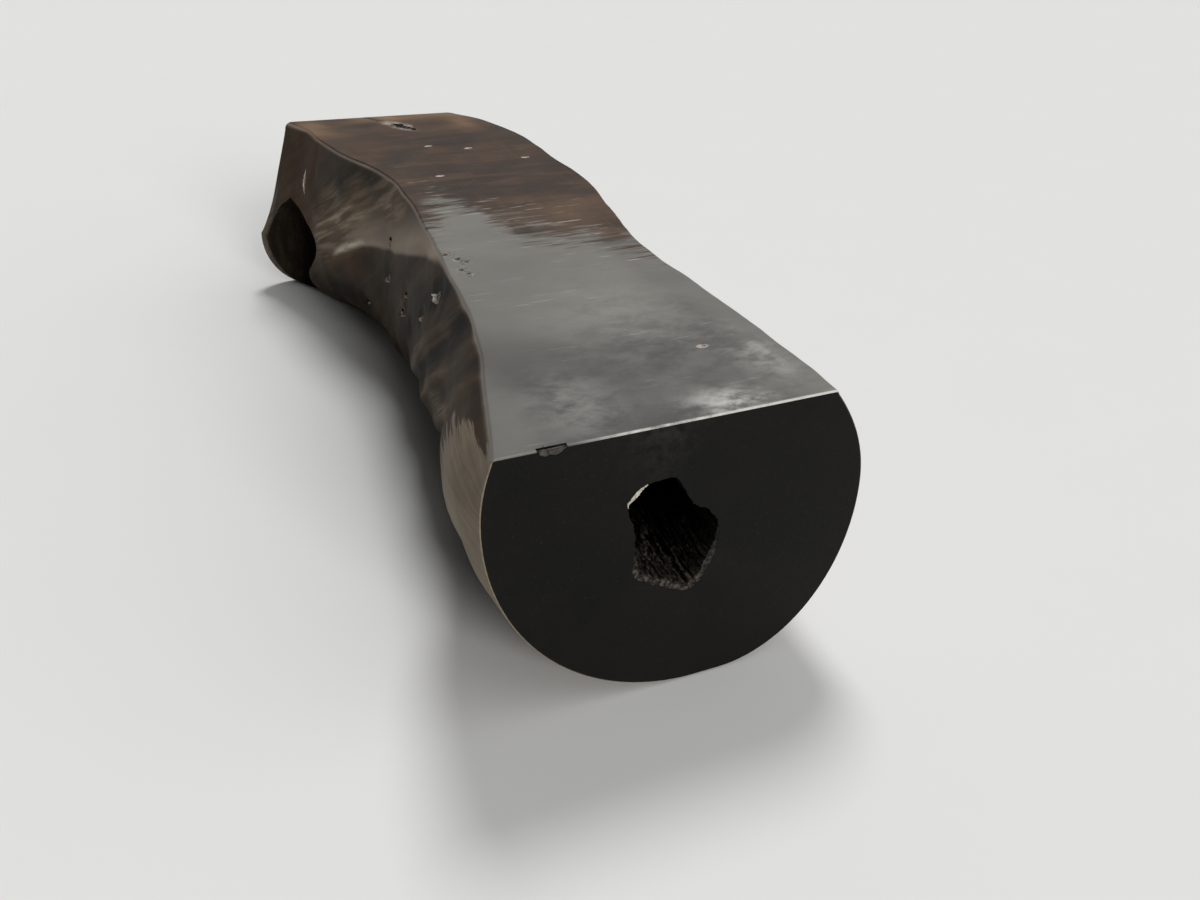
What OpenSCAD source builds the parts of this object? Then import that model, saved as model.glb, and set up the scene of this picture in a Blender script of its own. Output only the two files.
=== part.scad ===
// Live edge bench: one hollow log lying on its planed belly, sawn flat for the seat.
// X runs across the seat, Y along it from the near sawn end, Z up from the floor.

/* [Log] */
// Height of the seat above the floor
seat_h = 440; // [380:1:500]
// Length of the log from the near sawn end to the far one
log_l = 1920; // [1500:1:2300]
// Width of the flat seat at the near sawn end
near_w = 480; // [400:1:560]
// How much sooner the slanting far cut ends on the right than on the left
far_slant = 55; // [0:1:80]
// Rounding of the live edges, where the seat meets the sides
edge_round = 6; // [3:0.5:12]
// Depth of the waves that the trunk's growth left in the live sides
wave_depth = 7; // [0:0.5:12]

/* [Heart hollow] */
// Height of the hollow's mouth in the near sawn end
mouth_h = 190; // [140:1:220]
// Height of the mouth's middle above the floor
mouth_z = 264; // [230:1:290]
// Distance of the mouth's middle from the near end's upper left corner
mouth_x = 249; // [200:1:290]
// Depth of the heart hollow from the near sawn end
hollow_depth = 700; // [450:5:900]
// Thickness of the charred crust on the hollow's floor
crust_t = 34; // [20:1:45]
// Length of the charred crust along the hollow
crust_l = 330; // [200:5:400]
// Thickness of the pale sliver of raw wood on the mouth's upper left rim
sliver_t = 7; // [4:0.5:12]
// Length of the pale sliver along the hollow
sliver_l = 26; // [15:1:40]

/* [Flare hollow] */
// Height of the arched opening in the root flare at the far left
arch_h = 256; // [190:1:280]
// Height of the wooden sill under the arched opening
arch_sill = 12; // [8:1:40]
// Width of the arched opening along the log
arch_w = 230; // [160:1:250]
// Wood between the arched opening and the far sawn end
far_wall = 30; // [20:1:60]
// Depth of the flare's hollow into the log, from the opening's near lip
arch_depth = 250; // [150:5:300]

/* [Knots and fills] */
// Diameter of the largest dead knot in the live side
knot_d = 28; // [14:1:34]
// Depth of the knot sockets
knot_depth = 24; // [14:1:36]
// How far the dead knots lie below the mouths of their sockets
knot_sink = 5; // [2:0.5:9]
// Diameter of the largest pin knot in the seat
pin_d = 13; // [8:0.5:18]
// Depth of the pin knots in the seat
pin_depth = 22; // [12:1:36]
// Length of the filled crack near the far end of the seat
crack_l = 105; // [60:1:130]
// Greatest width of the filled crack
crack_w = 24; // [12:1:36]
// Depth of the filled crack
crack_depth = 16; // [8:1:30]
// Length of the filled chip along the near arris
chip_l = 40; // [24:1:60]
// Width of the filled chip on the seat, back from the near sawn end
chip_w = 7; // [5:0.5:20]
// Depth of the filled chip below the seat
chip_depth = 12; // [8:0.5:24]

/* [Glides] */
// Diameter of each felt glide under the log
glide_d = 45; // [30:1:60]
// Thickness of a glide
glide_t = 6; // [4:0.5:10]
// How far the glides stand proud of the planed belly
glide_proud = 3; // [2:0.5:4]
// Shank diameter of the countersunk glide screws
screw_d = 4.5; // [3:0.5:6]
// Length of the glide screws
screw_l = 32; // [20:1:50]
// How deep the screw heads lie inside the felt
head_sink = 1.5; // [1:0.1:2]

/* [Hidden] */
// Gap between a piece and the pocket, socket or wall that it sits against
fit = 0.3;
// How far every cut runs past the face that it opens
overrun = 2;

// Stations along the log, from the near end to the far one. A row is the place along log_l,
// then six places across, as shares of near_w from the near end's upper left corner: the
// seat's two edges, the two widest places and the planed belly's two edges. Its last two
// shares are the heights of the widest places, of seat_h.
station_shares = [
    [0.00, 0.000, 1.015, -0.046, 1.140, 0.61, 0.69, 0.76, 0.63],
    [0.06, 0.072, 1.028, -0.052, 1.145, 0.56, 0.75, 0.72, 0.62],
    [0.14, 0.150, 1.035, -0.005, 1.150, 0.49, 0.82, 0.64, 0.60],
    [0.24, 0.222, 1.028, 0.115, 1.155, 0.45, 0.84, 0.54, 0.58],
    [0.35, 0.262, 1.024, 0.160, 1.160, 0.42, 0.86, 0.48, 0.56],
    [0.46, 0.306, 1.085, 0.195, 1.200, 0.40, 0.92, 0.48, 0.54],
    [0.58, 0.340, 1.165, 0.240, 1.250, 0.37, 0.98, 0.46, 0.52],
    [0.69, 0.330, 1.165, 0.240, 1.250, 0.35, 0.98, 0.43, 0.50],
    [0.80, 0.212, 1.172, 0.130, 1.250, 0.36, 0.94, 0.40, 0.50],
    [0.88, 0.160, 1.137, 0.030, 1.220, 0.24, 0.90, 0.36, 0.50],
    [0.94, 0.135, 1.082, -0.090, 1.170, 0.12, 0.84, 0.33, 0.50],
    [1.00, 0.055, 0.955, -0.164, 1.090, 0.00, 0.76, 0.33, 0.50]
];
// Bow of the sides between the seat's edge and the widest place: 1 is straight, 2 is round
near_bow = 2.1;
flare_bow = 0.86;
far_right_bow = 1.8;
// The place along the log where the left side starts to lose its bow
flare_share = 0.55;

// Steps of the trunk's skin: rings along the log, then points on each rounded edge, on the
// side above its widest place and on the side below it
rings = 56;
edge_steps = 3;
upper_steps = 5;
lower_steps = 9;

// The heart hollow's mouth, every 15 degrees from the right-hand side, as shares of mouth_h
mouth_shares = [0.36, 0.35, 0.32, 0.285, 0.29, 0.35, 0.50, 0.52, 0.55, 0.525, 0.375, 0.32,
    0.30, 0.315, 0.36, 0.42, 0.40, 0.425, 0.465, 0.53, 0.49, 0.43, 0.40, 0.385];
mouth_step = 360 / len(mouth_shares);
// Radius that the hollow evens out to deep inside, as a share of mouth_h
even_share = 0.42;
hollow_rings = 14;
ring_step = hollow_depth / hollow_rings;
// Places round the mouth, in steps of it, between which the crust and the sliver lie
crust_places = [for (i = [13 : 24]) i];
sliver_places = [7.6, 8, 8.5, 9, 9.2];
// Thickness at the feathered edges of the crust and the sliver
feather = 2;

// The arched opening from its sill to its tip: height as a share of arch_h, then how far its
// near side and its far side stand from its middle, as shares of arch_w
arch_shares = [[0, 0.07, 0.36], [0.14, 0.11, 0.45], [0.31, 0.22, 0.49], [0.41, 0.34, 0.50],
    [0.53, 0.46, 0.50], [0.63, 0.50, 0.49], [0.75, 0.41, 0.46], [0.87, 0.20, 0.35],
    [0.95, 0.02, 0.23], [1, -0.14, 0.16]];
// The hollow behind the arch: how deep each ring lies, as a share of arch_depth, its size
// beside the opening's, and how far it has moved towards the near end, as a share of arch_w
flare_shares = [[0, 1, 0], [0.15, 1.02, 0.03], [0.35, 0.98, 0.10], [0.55, 0.88, 0.18],
    [0.75, 0.72, 0.26], [0.9, 0.50, 0.34], [1, 0.22, 0.40]];
// Distance of the arch's near lip from the near end's upper left corner, as a share of near_w
lip_share = 0.08;

// Dead knots in the left side: place along log_l, height as a share of seat_h, and diameter
// as a share of knot_d
knot_shares = [[0.633, 0.722, 0.75], [0.645, 0.51, 0.8], [0.503, 0.643, 0.6], [0.359, 0.87, 1],
    [0.521, 0.529, 0.7], [0.745, 0.22, 0.6], [0.417, 0.68, 0.5]];
// Pin knots in the seat: place along log_l, then across near_w, and diameter as a share of pin_d
pin_shares = [[0.805, 0.648, 0.9], [0.779, 0.825, 0.8], [0.712, 1.035, 1], [0.658, 0.558, 0.8],
    [0.385, 0.292, 0.8], [0.369, 0.322, 0.7], [0.359, 0.345, 0.6], [0.34, 0.304, 0.7],
    [0.328, 0.318, 0.6], [0.107, 0.804, 0.6]];
// How far the pin knots and the two fills lie below the surface
fill_sink = 0.8;
// The filled crack's middle, along log_l and across near_w, and its slant off the log's length
crack_share = 0.922;
crack_across_share = 0.635;
crack_turn = 24;
crack_steps = 14;
// The filled chip's middle along the near arris, as a share of near_w, and the lower edge of
// its outline on the sawn end, as shares of chip_l and of chip_depth
chip_share = 0.16;
chip_shares = [[-0.5, 0.1], [-0.42, 0.62], [-0.22, 0.92], [-0.04, 0.74], [0.14, 1],
    [0.34, 0.66], [0.5, 0.2]];

// Places of the glides along log_l, and their distance from the planed belly's edges
near_glide_share = 0.19;
far_glide_share = 0.80;
glide_inset = glide_d * 0.75;
glide_bevel = glide_t / 6;
head_d = 2 * screw_d;
tip_l = screw_l / 6;

// Plain mix of two values, and a smooth step from 0 to 1
function mix(a, b, part) = a + (b - a) * part;
function eased(part) = let (p = min(max(part, 0), 1)) p * p * (3 - 2 * p);
function reversed(list) = [for (i = [len(list) - 1 : -1 : 0]) list[i]];

// The smooth curve through one column of the stations
last_station = len(station_shares) - 1;
function station_slope(column, i) = let (
        before = station_shares[max(i - 1, 0)],
        after = station_shares[min(i + 1, last_station)])
    (after[column] - before[column]) / (after[0] - before[0]);
function station_before(along, i = 0) =
    i < last_station - 1 && station_shares[i + 1][0] <= along ? station_before(along, i + 1) : i;
function station_at(column, along) = let (
        i = station_before(along),
        a = station_shares[i],
        b = station_shares[i + 1],
        step = b[0] - a[0],
        p = (along - a[0]) / step)
    a[column] * (1 + 2 * p) * pow(1 - p, 2) + b[column] * p * p * (3 - 2 * p)
    + step * station_slope(column, i) * p * pow(1 - p, 2)
    + step * station_slope(column, i + 1) * p * p * (p - 1);

// The sides of the log, where side is -1 on the left and 1 on the right
function seat_edge(side, along) = near_w * station_at(side < 0 ? 1 : 2, along);
function widest(side, along) = near_w * station_at(side < 0 ? 3 : 4, along);
function belly_edge(side, along) = near_w * station_at(side < 0 ? 5 : 6, along);
function widest_z(side, along) = seat_h * station_at(side < 0 ? 7 : 8, along);
function bow(side, along) = side < 0
    ? mix(near_bow, flare_bow, eased((along - flare_share) / (1 - flare_share)))
    : mix(near_bow, far_right_bow, along);
// The growth waves fade out at the near end and towards the seat
function wave(side, along, up) = wave_depth * eased(12 * along) * (1 - 0.8 * pow(up, 3)) * (
    0.5 * sin(360 * (5.1 * along + 0.9 * up) + 40 * side)
    + 0.3 * sin(360 * (9.7 * along - 1.3 * up) + 100 * side)
    + 0.2 * sin(360 * (14.3 * along + 2.1 * up) + 200 * side));
function side_x(side, along, z) = let (
        level = widest_z(side, along),
        out = widest(side, along),
        above = (z - level) / (seat_h - level),
        below = (level - z) / (level - glide_proud))
    (z >= level
        ? mix(out, seat_edge(side, along), pow(above, bow(side, along)))
        : mix(belly_edge(side, along), out, sqrt(max(0, 1 - below * below))))
    + side * wave(side, along, z / seat_h);
function place_y(along, x) = along * (log_l - far_slant * x / near_w);

// One side of one ring, from the seat down to the planed belly
shoulder = seat_h - edge_round;
function side_ring(side, along) = let (
        level = widest_z(side, along),
        heights = concat(
            [for (i = [0 : upper_steps]) mix(shoulder, level, i / (upper_steps + 1))],
            [for (i = [0 : lower_steps])
                level - (level - glide_proud) * sin(90 * i / lower_steps)]))
    concat(
        [for (i = [0 : edge_steps - 1]) let (a = 90 - 90 * i / edge_steps)
            [side_x(side, along, shoulder) - side * edge_round * (1 - cos(a)),
                shoulder + edge_round * sin(a)]],
        [for (z = heights) [side_x(side, along, z), z]]);
function skin_ring(along) =
    [for (p = concat(side_ring(-1, along), reversed(side_ring(1, along))))
        [p[0], place_y(along, p[0]), p[1]]];
skin = [for (i = [0 : rings]) skin_ring(i / rings)];
skin_xs = [for (ring = skin, p = ring) p[0]];
skin_ys = [for (ring = skin, p = ring) p[1]];
middle = [(min(skin_xs) + max(skin_xs)) / 2, (min(skin_ys) + max(skin_ys)) / 2, 0];

// Everything is drawn from the near end's upper left corner, and then moved to the middle
module placed() {
    translate(-middle) children();
}

// A closed loft through rings of equal length, each counter-clockwise seen from the first end.
// A fan of triangles closes either end, or rungs across it where the section is a thin crescent
function middle_of(points) = [for (k = [0 : 2])
    let (values = [for (p = points) p[k]]) (min(values) + max(values)) / 2];
module loft(sections, rungs = false) {
    n = len(sections[0]);
    last = len(sections) - 1;
    first_hub = (last + 1) * n;
    last_hub = first_hub + 1;
    points = [for (section = sections) each section];
    hubs = [middle_of(sections[0]), middle_of(sections[last])];
    walls = [for (i = [0 : last - 1], j = [0 : n - 1]) let (
            a = i * n + j,
            b = i * n + (j + 1) % n)
        each [[a, b, a + n], [b, b + n, a + n]]];
    fans = [for (j = [0 : n - 1]) let (k = (j + 1) % n)
        each [[first_hub, k, j], [last_hub, last * n + j, last * n + k]]];
    ladders = [for (j = [0 : n / 2 - 2]) let (rung = [j, j + 1, n - 2 - j, n - 1 - j])
        each [reversed(rung), [for (k = rung) last * n + k]]];
    if (rungs)
        polyhedron(points, concat(walls, ladders));
    else
        polyhedron(concat(points, hubs), concat(walls, fans));
}

// The heart hollow: rings across the log, ragged at the mouth and evener deep inside
function hollow_middle(deep) = [
    mouth_x + 0.35 * mouth_h * eased(deep),
    mouth_z - 0.12 * mouth_h * deep];
function hollow_size(deep) =
    (1 + 0.12 * sin(180 * min(1, 2.5 * deep))) * sqrt(1 - 0.86 * pow(deep, 4));
function wall_radius(i, deep) = mouth_h * hollow_size(deep)
    * mix(mouth_shares[i % len(mouth_shares)], even_share, 0.7 * eased(3 * deep));
function hollow_point(i, k, inward = 0) = let (
        deep = k / hollow_rings,
        r = wall_radius(i, deep) - inward,
        c = hollow_middle(deep))
    [c[0] + r * cos(mouth_step * i), k * ring_step, c[1] + r * sin(mouth_step * i)];
module heart_hollow() {
    last_point = len(mouth_shares) - 1;
    walls = [for (k = [0 : hollow_rings]) [for (i = [0 : last_point]) hollow_point(i, k)]];
    loft(concat([[for (p = walls[0]) [p[0], -overrun, p[2]]]], walls));
}

// A point inward of the hollow's wall, at any place round it and any depth
function in_hollow(place, depth, inward) = let (
        i = floor(place),
        k = floor(depth / ring_step),
        near = mix(hollow_point(i, k, inward), hollow_point(i + 1, k, inward), place - i),
        far = mix(hollow_point(i, k + 1, inward), hollow_point(i + 1, k + 1, inward), place - i))
    mix(near, far, depth / ring_step - k);

// A piece that lines the hollow: its outer face follows the wall, and its inner face is rough
module lining(places, depths, thickness, seed) {
    n = len(places);
    rough = rands(0.7, 1.25, n * len(depths), seed);
    function inner(i, k) = fit + feather + (thickness - feather) * rough[i + k * n]
        * sin(180 * i / (n - 1)) * (0.4 + 0.6 * sin(180 * k / (len(depths) - 1)));
    loft([for (k = [0 : len(depths) - 1]) concat(
        [for (i = [0 : n - 1]) in_hollow(places[i], depths[k], fit)],
        [for (i = [n - 1 : -1 : 0]) in_hollow(places[i], depths[k], inner(i, k))])], true);
}
crust_depths = concat([for (y = [0 : ring_step : crust_l - feather]) y], [crust_l]);

// The flare's hollow: upright arched rings along the log, from outside its left side inwards
function arch_ring(x, size, moved) = let (
        middle_y = log_l - far_wall - (0.5 + moved) * arch_w,
        middle_z = arch_sill + arch_h / 2,
        near_side = [for (row = arch_shares) [-row[1], row[0] - 0.5]],
        far_side = [for (row = arch_shares) [row[2], row[0] - 0.5]])
    [for (p = concat(near_side, reversed(far_side)))
        [x, middle_y + size * arch_w * p[0], middle_z + size * arch_h * p[1]]];
module flare_hollow() {
    outside = min(skin_xs) - overrun;
    loft(concat([arch_ring(outside, 1, 0)], [for (row = flare_shares)
        arch_ring(lip_share * near_w + row[0] * arch_depth, row[1], row[2])]));
}

// A frame whose Z points straight out of a side, at a place along it and a height
probe_share = 0.002;
module on_side(side, along, z) {
    probe_z = probe_share * seat_h;
    x = side_x(side, along, z);
    by_y = (side_x(side, along + probe_share, z) - side_x(side, along - probe_share, z))
        / (2 * probe_share * log_l);
    by_z = (side_x(side, along, z + probe_z) - side_x(side, along, z - probe_z)) / (2 * probe_z);
    out = side * [1, -by_y, -by_z];
    translate([x, place_y(along, x), z])
        rotate([0, acos(out[2] / norm(out)), atan2(out[1], out[0])])
            children();
}

// Dead knots of the live side, shrunk back in their sockets
module knot_sockets() {
    for (row = knot_shares)
        on_side(-1, row[0], row[1] * seat_h)
            translate([0, 0, -knot_depth])
                cylinder(d = row[2] * knot_d, h = 2 * knot_depth);
}
module dead_knot(d, h) {
    rotate_extrude()
        polygon([[0, 0], [0.42 * d, 0], [0.5 * d, 0.25 * h], [0.5 * d, 0.75 * h],
            [0.38 * d, 0.9 * h], [0.18 * d, h], [0, 0.92 * h]]);
}

// A place on the seat, along the log and across it
module on_seat(along, across) {
    x = across * near_w;
    translate([x, place_y(along, x), seat_h]) children();
}
module pin_sockets() {
    for (row = pin_shares)
        on_seat(row[0], row[1])
            translate([0, 0, -pin_depth])
                cylinder(d = row[2] * pin_d, h = pin_depth + overrun);
}

// The crack's outline, pointed at both tips
function crack_outline(inset) = [for (i = [0 : crack_steps - 1]) let (a = 360 * i / crack_steps)
    [(crack_w / 2 - inset) * sin(a) * abs(sin(a)) * (1 + 0.25 * sin(3 * a)),
        (crack_l / 2 - inset) * cos(a)]];
module in_crack(inset, bottom, top) {
    on_seat(crack_share, crack_across_share)
        rotate([0, 0, crack_turn])
            translate([0, 0, -bottom])
                linear_extrude(bottom + top)
                    polygon(crack_outline(inset));
}

// The chip's outline on the sawn end, drawn back along the seat
module in_chip(inset, front, back, top) {
    lower = [for (row = chip_shares)
        [row[0] * (chip_l - 2 * inset), -row[1] * (chip_depth - inset)]];
    translate([chip_share * near_w, back, seat_h])
        rotate([90, 0, 0])
            linear_extrude(back - front)
                polygon(concat(lower, [[lower[len(lower) - 1][0], top], [lower[0][0], top]]));
}

// A glide's place under the planed belly
module at_glide(side, along) {
    x = belly_edge(side, along) - side * glide_inset;
    translate([x, place_y(along, x), 0]) children();
}
module at_glides() {
    for (along = [near_glide_share, far_glide_share], side = [-1, 1])
        at_glide(side, along) children();
}
module screw_shape(gap, start) {
    neck = head_sink + (head_d - screw_d) / 2;
    end = head_sink + screw_l;
    rotate_extrude()
        polygon([[0, start], [head_d / 2 + gap, start], [head_d / 2 + gap, head_sink],
            [screw_d / 2 + gap, neck], [screw_d / 2 + gap, end - tip_l], [gap, end + gap],
            [0, end + gap]]);
}
module glide(side, along) {
    r = glide_d / 2;
    color("#4a4845") placed() at_glide(side, along) difference() {
        rotate_extrude()
            polygon([[0, 0], [r - glide_bevel, 0], [r, glide_bevel], [r, glide_t], [0, glide_t]]);
        screw_shape(fit, -overrun);
    }
}
module glide_recess() {
    translate([0, 0, -overrun]) cylinder(d = glide_d + 2 * fit, h = glide_t + overrun);
    screw_shape(fit, -overrun);
}

module trunk() {
    color("#2d2824") placed() difference() {
        loft(skin);
        heart_hollow();
        flare_hollow();
        knot_sockets();
        pin_sockets();
        in_crack(0, crack_depth, overrun);
        in_chip(0, -overrun, chip_w, overrun);
        at_glides() glide_recess();
    }
}
module heart_crust() {
    color("#1d1a18") placed() lining(crust_places, crust_depths, crust_t, 11);
}
module rim_sliver() {
    color("#a39a8a") placed()
        lining(sliver_places, [fit, sliver_l / 3, 2 * sliver_l / 3, sliver_l], sliver_t, 5);
}
module side_knots() {
    color("#3d3028") placed() for (row = knot_shares)
        on_side(-1, row[0], row[1] * seat_h)
            translate([0, 0, fit - knot_depth])
                dead_knot(row[2] * knot_d - 2 * fit, knot_depth - knot_sink - fit);
}
module pin_knots() {
    color("#54463b") placed() for (row = pin_shares)
        on_seat(row[0], row[1])
            translate([0, 0, fit - pin_depth])
                cylinder(d = row[2] * pin_d - 2 * fit, h = pin_depth - fill_sink - fit);
}
module crack_fill() {
    color("#1f1a17") placed() in_crack(fit, crack_depth - fit, -fill_sink);
}
module chip_fill() {
    color("#5c5750") placed() in_chip(fit, fill_sink, chip_w - fit, -fill_sink);
}
module near_left_glide() {
    glide(-1, near_glide_share);
}
module near_right_glide() {
    glide(1, near_glide_share);
}
module far_left_glide() {
    glide(-1, far_glide_share);
}
module far_right_glide() {
    glide(1, far_glide_share);
}
module glide_screws() {
    color("#b9b6ae") placed() at_glides() screw_shape(0, head_sink);
}

trunk();
heart_crust();
rim_sliver();
side_knots();
pin_knots();
crack_fill();
chip_fill();
near_left_glide();
near_right_glide();
far_left_glide();
far_right_glide();
glide_screws();
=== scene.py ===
import contextlib
import math
import random

import bmesh
import bpy
import numpy as np
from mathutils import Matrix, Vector, noise


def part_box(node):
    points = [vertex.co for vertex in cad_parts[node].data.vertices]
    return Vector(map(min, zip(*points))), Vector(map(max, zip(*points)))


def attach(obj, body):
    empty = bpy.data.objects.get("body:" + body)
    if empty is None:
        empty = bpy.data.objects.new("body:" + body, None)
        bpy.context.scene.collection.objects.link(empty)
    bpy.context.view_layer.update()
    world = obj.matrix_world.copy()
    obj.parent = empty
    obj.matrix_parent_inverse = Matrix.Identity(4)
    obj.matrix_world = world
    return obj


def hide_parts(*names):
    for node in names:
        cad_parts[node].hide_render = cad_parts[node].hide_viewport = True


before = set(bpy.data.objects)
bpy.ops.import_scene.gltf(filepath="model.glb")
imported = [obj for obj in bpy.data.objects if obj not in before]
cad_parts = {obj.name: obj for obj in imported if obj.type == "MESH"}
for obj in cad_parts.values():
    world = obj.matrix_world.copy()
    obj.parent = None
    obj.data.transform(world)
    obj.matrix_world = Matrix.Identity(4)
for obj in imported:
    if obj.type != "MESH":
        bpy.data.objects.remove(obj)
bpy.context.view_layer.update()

# Sizes of the log, in metres, and the crack's turn in degrees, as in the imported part
SEAT_H, LOG_L, NEAR_W, FAR_SLANT = 0.440, 1.920, 0.480, 0.055
EDGE_ROUND, WAVE_DEPTH, PROUD = 0.006, 0.007, 0.003
MOUTH_H, MOUTH_Z, MOUTH_X, HOLLOW_DEPTH = 0.190, 0.264, 0.249, 0.700
ARCH_H, ARCH_SILL, ARCH_W, FAR_WALL, ARCH_DEPTH = 0.256, 0.012, 0.230, 0.030, 0.250
KNOT_D, KNOT_DEPTH, KNOT_SINK, PIN_D, GLIDE_D = 0.028, 0.024, 0.005, 0.013, 0.045
CRACK_L, CRACK_W, CRACK_DEPTH, CRACK_TURN = 0.105, 0.024, 0.016, 24
CHIP_L, CHIP_W, CHIP_DEPTH = 0.040, 0.007, 0.012
# The clearance of fillers, how far they and the pins lie under the seat, a pin's pocket and its
# lower end, and the arris of the sawn ends, in metres
FIT, FILL_SINK, PIN_POCKET, PIN_ROOT, ARRIS = 0.0003, 0.0008, 0.020, 0.0215, 0.0028
# Angles over which an edge is sharp, in degrees
TRUNK_SHARP, PIECE_SHARP = 38, 50

# Places, as shares of the log's length and of its near width
CRACK_ALONG, CRACK_ACROSS, CHIP_ACROSS, HOLLOW_START = 0.922, 0.635, 0.16, 0.08
# Where the glides lie along the log, and how far inside the belly's edge, in their diameters
GLIDE_STATIONS, GLIDE_INSET = (0.19, 0.80), 0.75

# Each station: share of the length, then for the left and the right side the seat's edge, the
# widest point and the belly's edge (shares of the near width) and the widest point's height share
SEAT_EDGE, WIDEST, BELLY_EDGE, WIDEST_HEIGHT = 1, 3, 5, 7
STATIONS = np.array([
    [0.00, 0.000, 1.015, -0.046, 1.140, 0.61, 0.69, 0.76, 0.63],
    [0.06, 0.072, 1.028, -0.052, 1.145, 0.56, 0.75, 0.72, 0.62],
    [0.14, 0.150, 1.035, -0.005, 1.150, 0.49, 0.82, 0.64, 0.60],
    [0.24, 0.222, 1.028, 0.115, 1.155, 0.45, 0.84, 0.54, 0.58],
    [0.35, 0.262, 1.024, 0.160, 1.160, 0.42, 0.86, 0.48, 0.56],
    [0.46, 0.306, 1.085, 0.195, 1.200, 0.40, 0.92, 0.48, 0.54],
    [0.58, 0.340, 1.165, 0.240, 1.250, 0.37, 0.98, 0.46, 0.52],
    [0.69, 0.330, 1.165, 0.240, 1.250, 0.35, 0.98, 0.43, 0.50],
    [0.80, 0.212, 1.172, 0.130, 1.250, 0.36, 0.94, 0.40, 0.50],
    [0.88, 0.160, 1.137, 0.030, 1.220, 0.24, 0.90, 0.36, 0.50],
    [0.94, 0.135, 1.082, -0.090, 1.170, 0.12, 0.84, 0.33, 0.50],
    [1.00, 0.055, 0.955, -0.164, 1.090, 0.00, 0.76, 0.33, 0.50]])
# Slow waves of the sides: share, waves along the log and up it, and the lead in degrees
WAVES = [(0.5, 5.1, 0.9, 40), (0.3, 9.7, -1.3, 100), (0.2, 14.3, 2.1, 200)]

# The mouth's radius every 15 degrees, in shares of its height
MOUTH = [0.36, 0.35, 0.32, 0.285, 0.29, 0.35, 0.50, 0.52, 0.55, 0.525, 0.375, 0.32,
         0.30, 0.315, 0.36, 0.42, 0.40, 0.425, 0.465, 0.53, 0.49, 0.43, 0.40, 0.385]
MOUTH_STEP = 360 / len(MOUTH)
# The arch: height share, then how far it reaches to the near and the far side of its middle
ARCH = [(0, 0.07, 0.36), (0.14, 0.11, 0.45), (0.31, 0.22, 0.49), (0.41, 0.34, 0.50),
        (0.53, 0.46, 0.50), (0.63, 0.50, 0.49), (0.75, 0.41, 0.46), (0.87, 0.20, 0.35),
        (0.95, 0.02, 0.23), (1, -0.14, 0.16)]
# The hollow behind it: depth share, size and shift towards the near end
FLARE = [(0, 1, 0), (0.15, 1.02, 0.03), (0.35, 0.98, 0.10), (0.55, 0.88, 0.18),
         (0.75, 0.72, 0.26), (0.9, 0.50, 0.34), (1, 0.22, 0.40)]

# Knots of the left side (along, up, size) and pins of the seat (along, across, size)
KNOTS = [(0.633, 0.722, 0.75), (0.645, 0.51, 0.8), (0.503, 0.643, 0.6), (0.359, 0.87, 1),
         (0.521, 0.529, 0.7), (0.745, 0.22, 0.6), (0.417, 0.68, 0.5)]
PINS = [(0.805, 0.648, 0.9), (0.779, 0.825, 0.8), (0.712, 1.035, 1), (0.658, 0.558, 0.8),
        (0.385, 0.292, 0.8), (0.369, 0.322, 0.7), (0.359, 0.345, 0.6), (0.34, 0.304, 0.7),
        (0.328, 0.318, 0.6), (0.107, 0.804, 0.6)]
DARK_PINS = (4, 5, 6, 7, 8)
CHIP = [(-0.5, 0.1), (-0.42, 0.62), (-0.22, 0.92), (-0.04, 0.74), (0.14, 1), (0.34, 0.66), (0.5, 0.2)]
# A glide's recess, (radius, height): the felt's seat, a step, the screw's cone and its pilot
RECESS = [(0.0228, -0.003), (0.0228, 0.006), (0.0048, 0.0062), (0.0048, 0.0066),
          (0.0026, 0.0092), (0.0026, 0.034)]

# Flutes of the left side: place on along + FLUTE_SLANT * up, half width, height in metres
FLUTE_SLANT = 0.34
FLUTES = [(0.400, 0.016, 0.0012), (0.430, 0.014, -0.0014), (0.458, 0.008, 0.0030),
          (0.492, 0.014, -0.0018), (0.525, 0.009, 0.0034), (0.562, 0.016, -0.0048),
          (0.598, 0.015, 0.0040), (0.665, 0.030, -0.0048), (0.720, 0.022, 0.0026),
          (0.765, 0.020, -0.0026)]
# The pale strokes beside the arch fan out from here (length share, height) at about this angle
RAY_FROM, RAY_ANGLE = (1.12, -0.03), 0.46
# How far the other forms of the live surface stand out or lie in, in metres
SWELL, GRAIN, STROKES, CREST, CREST_FOOT, BOSS = 0.0032, 0.0008, 0.0016, 0.0060, 0.0050, 0.0050
CREASE, ARCH_LIP, KNOT_DENT, KNOT_COLLAR, RIPPLE, FINE_RIPPLE = 0.0042, 0.0040, 0.0060, 0.0030, 0.0030, 0.0007

# How finely the skin is divided; the live left side is finer than the right one
LEFT, RIGHT, UPRIGHT = -1, 1, Vector((0, 0, 1))
UPPER_STEPS, LOWER_STEPS = {LEFT: 54, RIGHT: 26}, {LEFT: 40, RIGHT: 26}
SEAT_STEPS, BELLY_STEPS, EDGE_STEPS = 14, 6, 5


def mix(a, b, t):
    return a + (b - a) * t


def eased(p):
    """0 up to 1 with soft ends."""
    p = np.clip(p, 0.0, 1.0)
    return p * p * (3 - 2 * p)


def window(value, start, rise, end, fall):
    """1 between two places, with soft flanks inside them."""
    return eased((value - start) / rise) * eased((end - value) / fall)


def hump(value, middle, width):
    return np.exp(-((value - middle) / width) ** 2)


def blob(along, up, at_along, at_up, wide, high):
    return np.exp(-(((along - at_along) / wide) ** 2 + ((up - at_up) / high) ** 2))


def fbm(x, y, z, octaves=4):
    return noise.fractal(Vector((x, y, z)), 1.0, 2.0, octaves)


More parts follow.
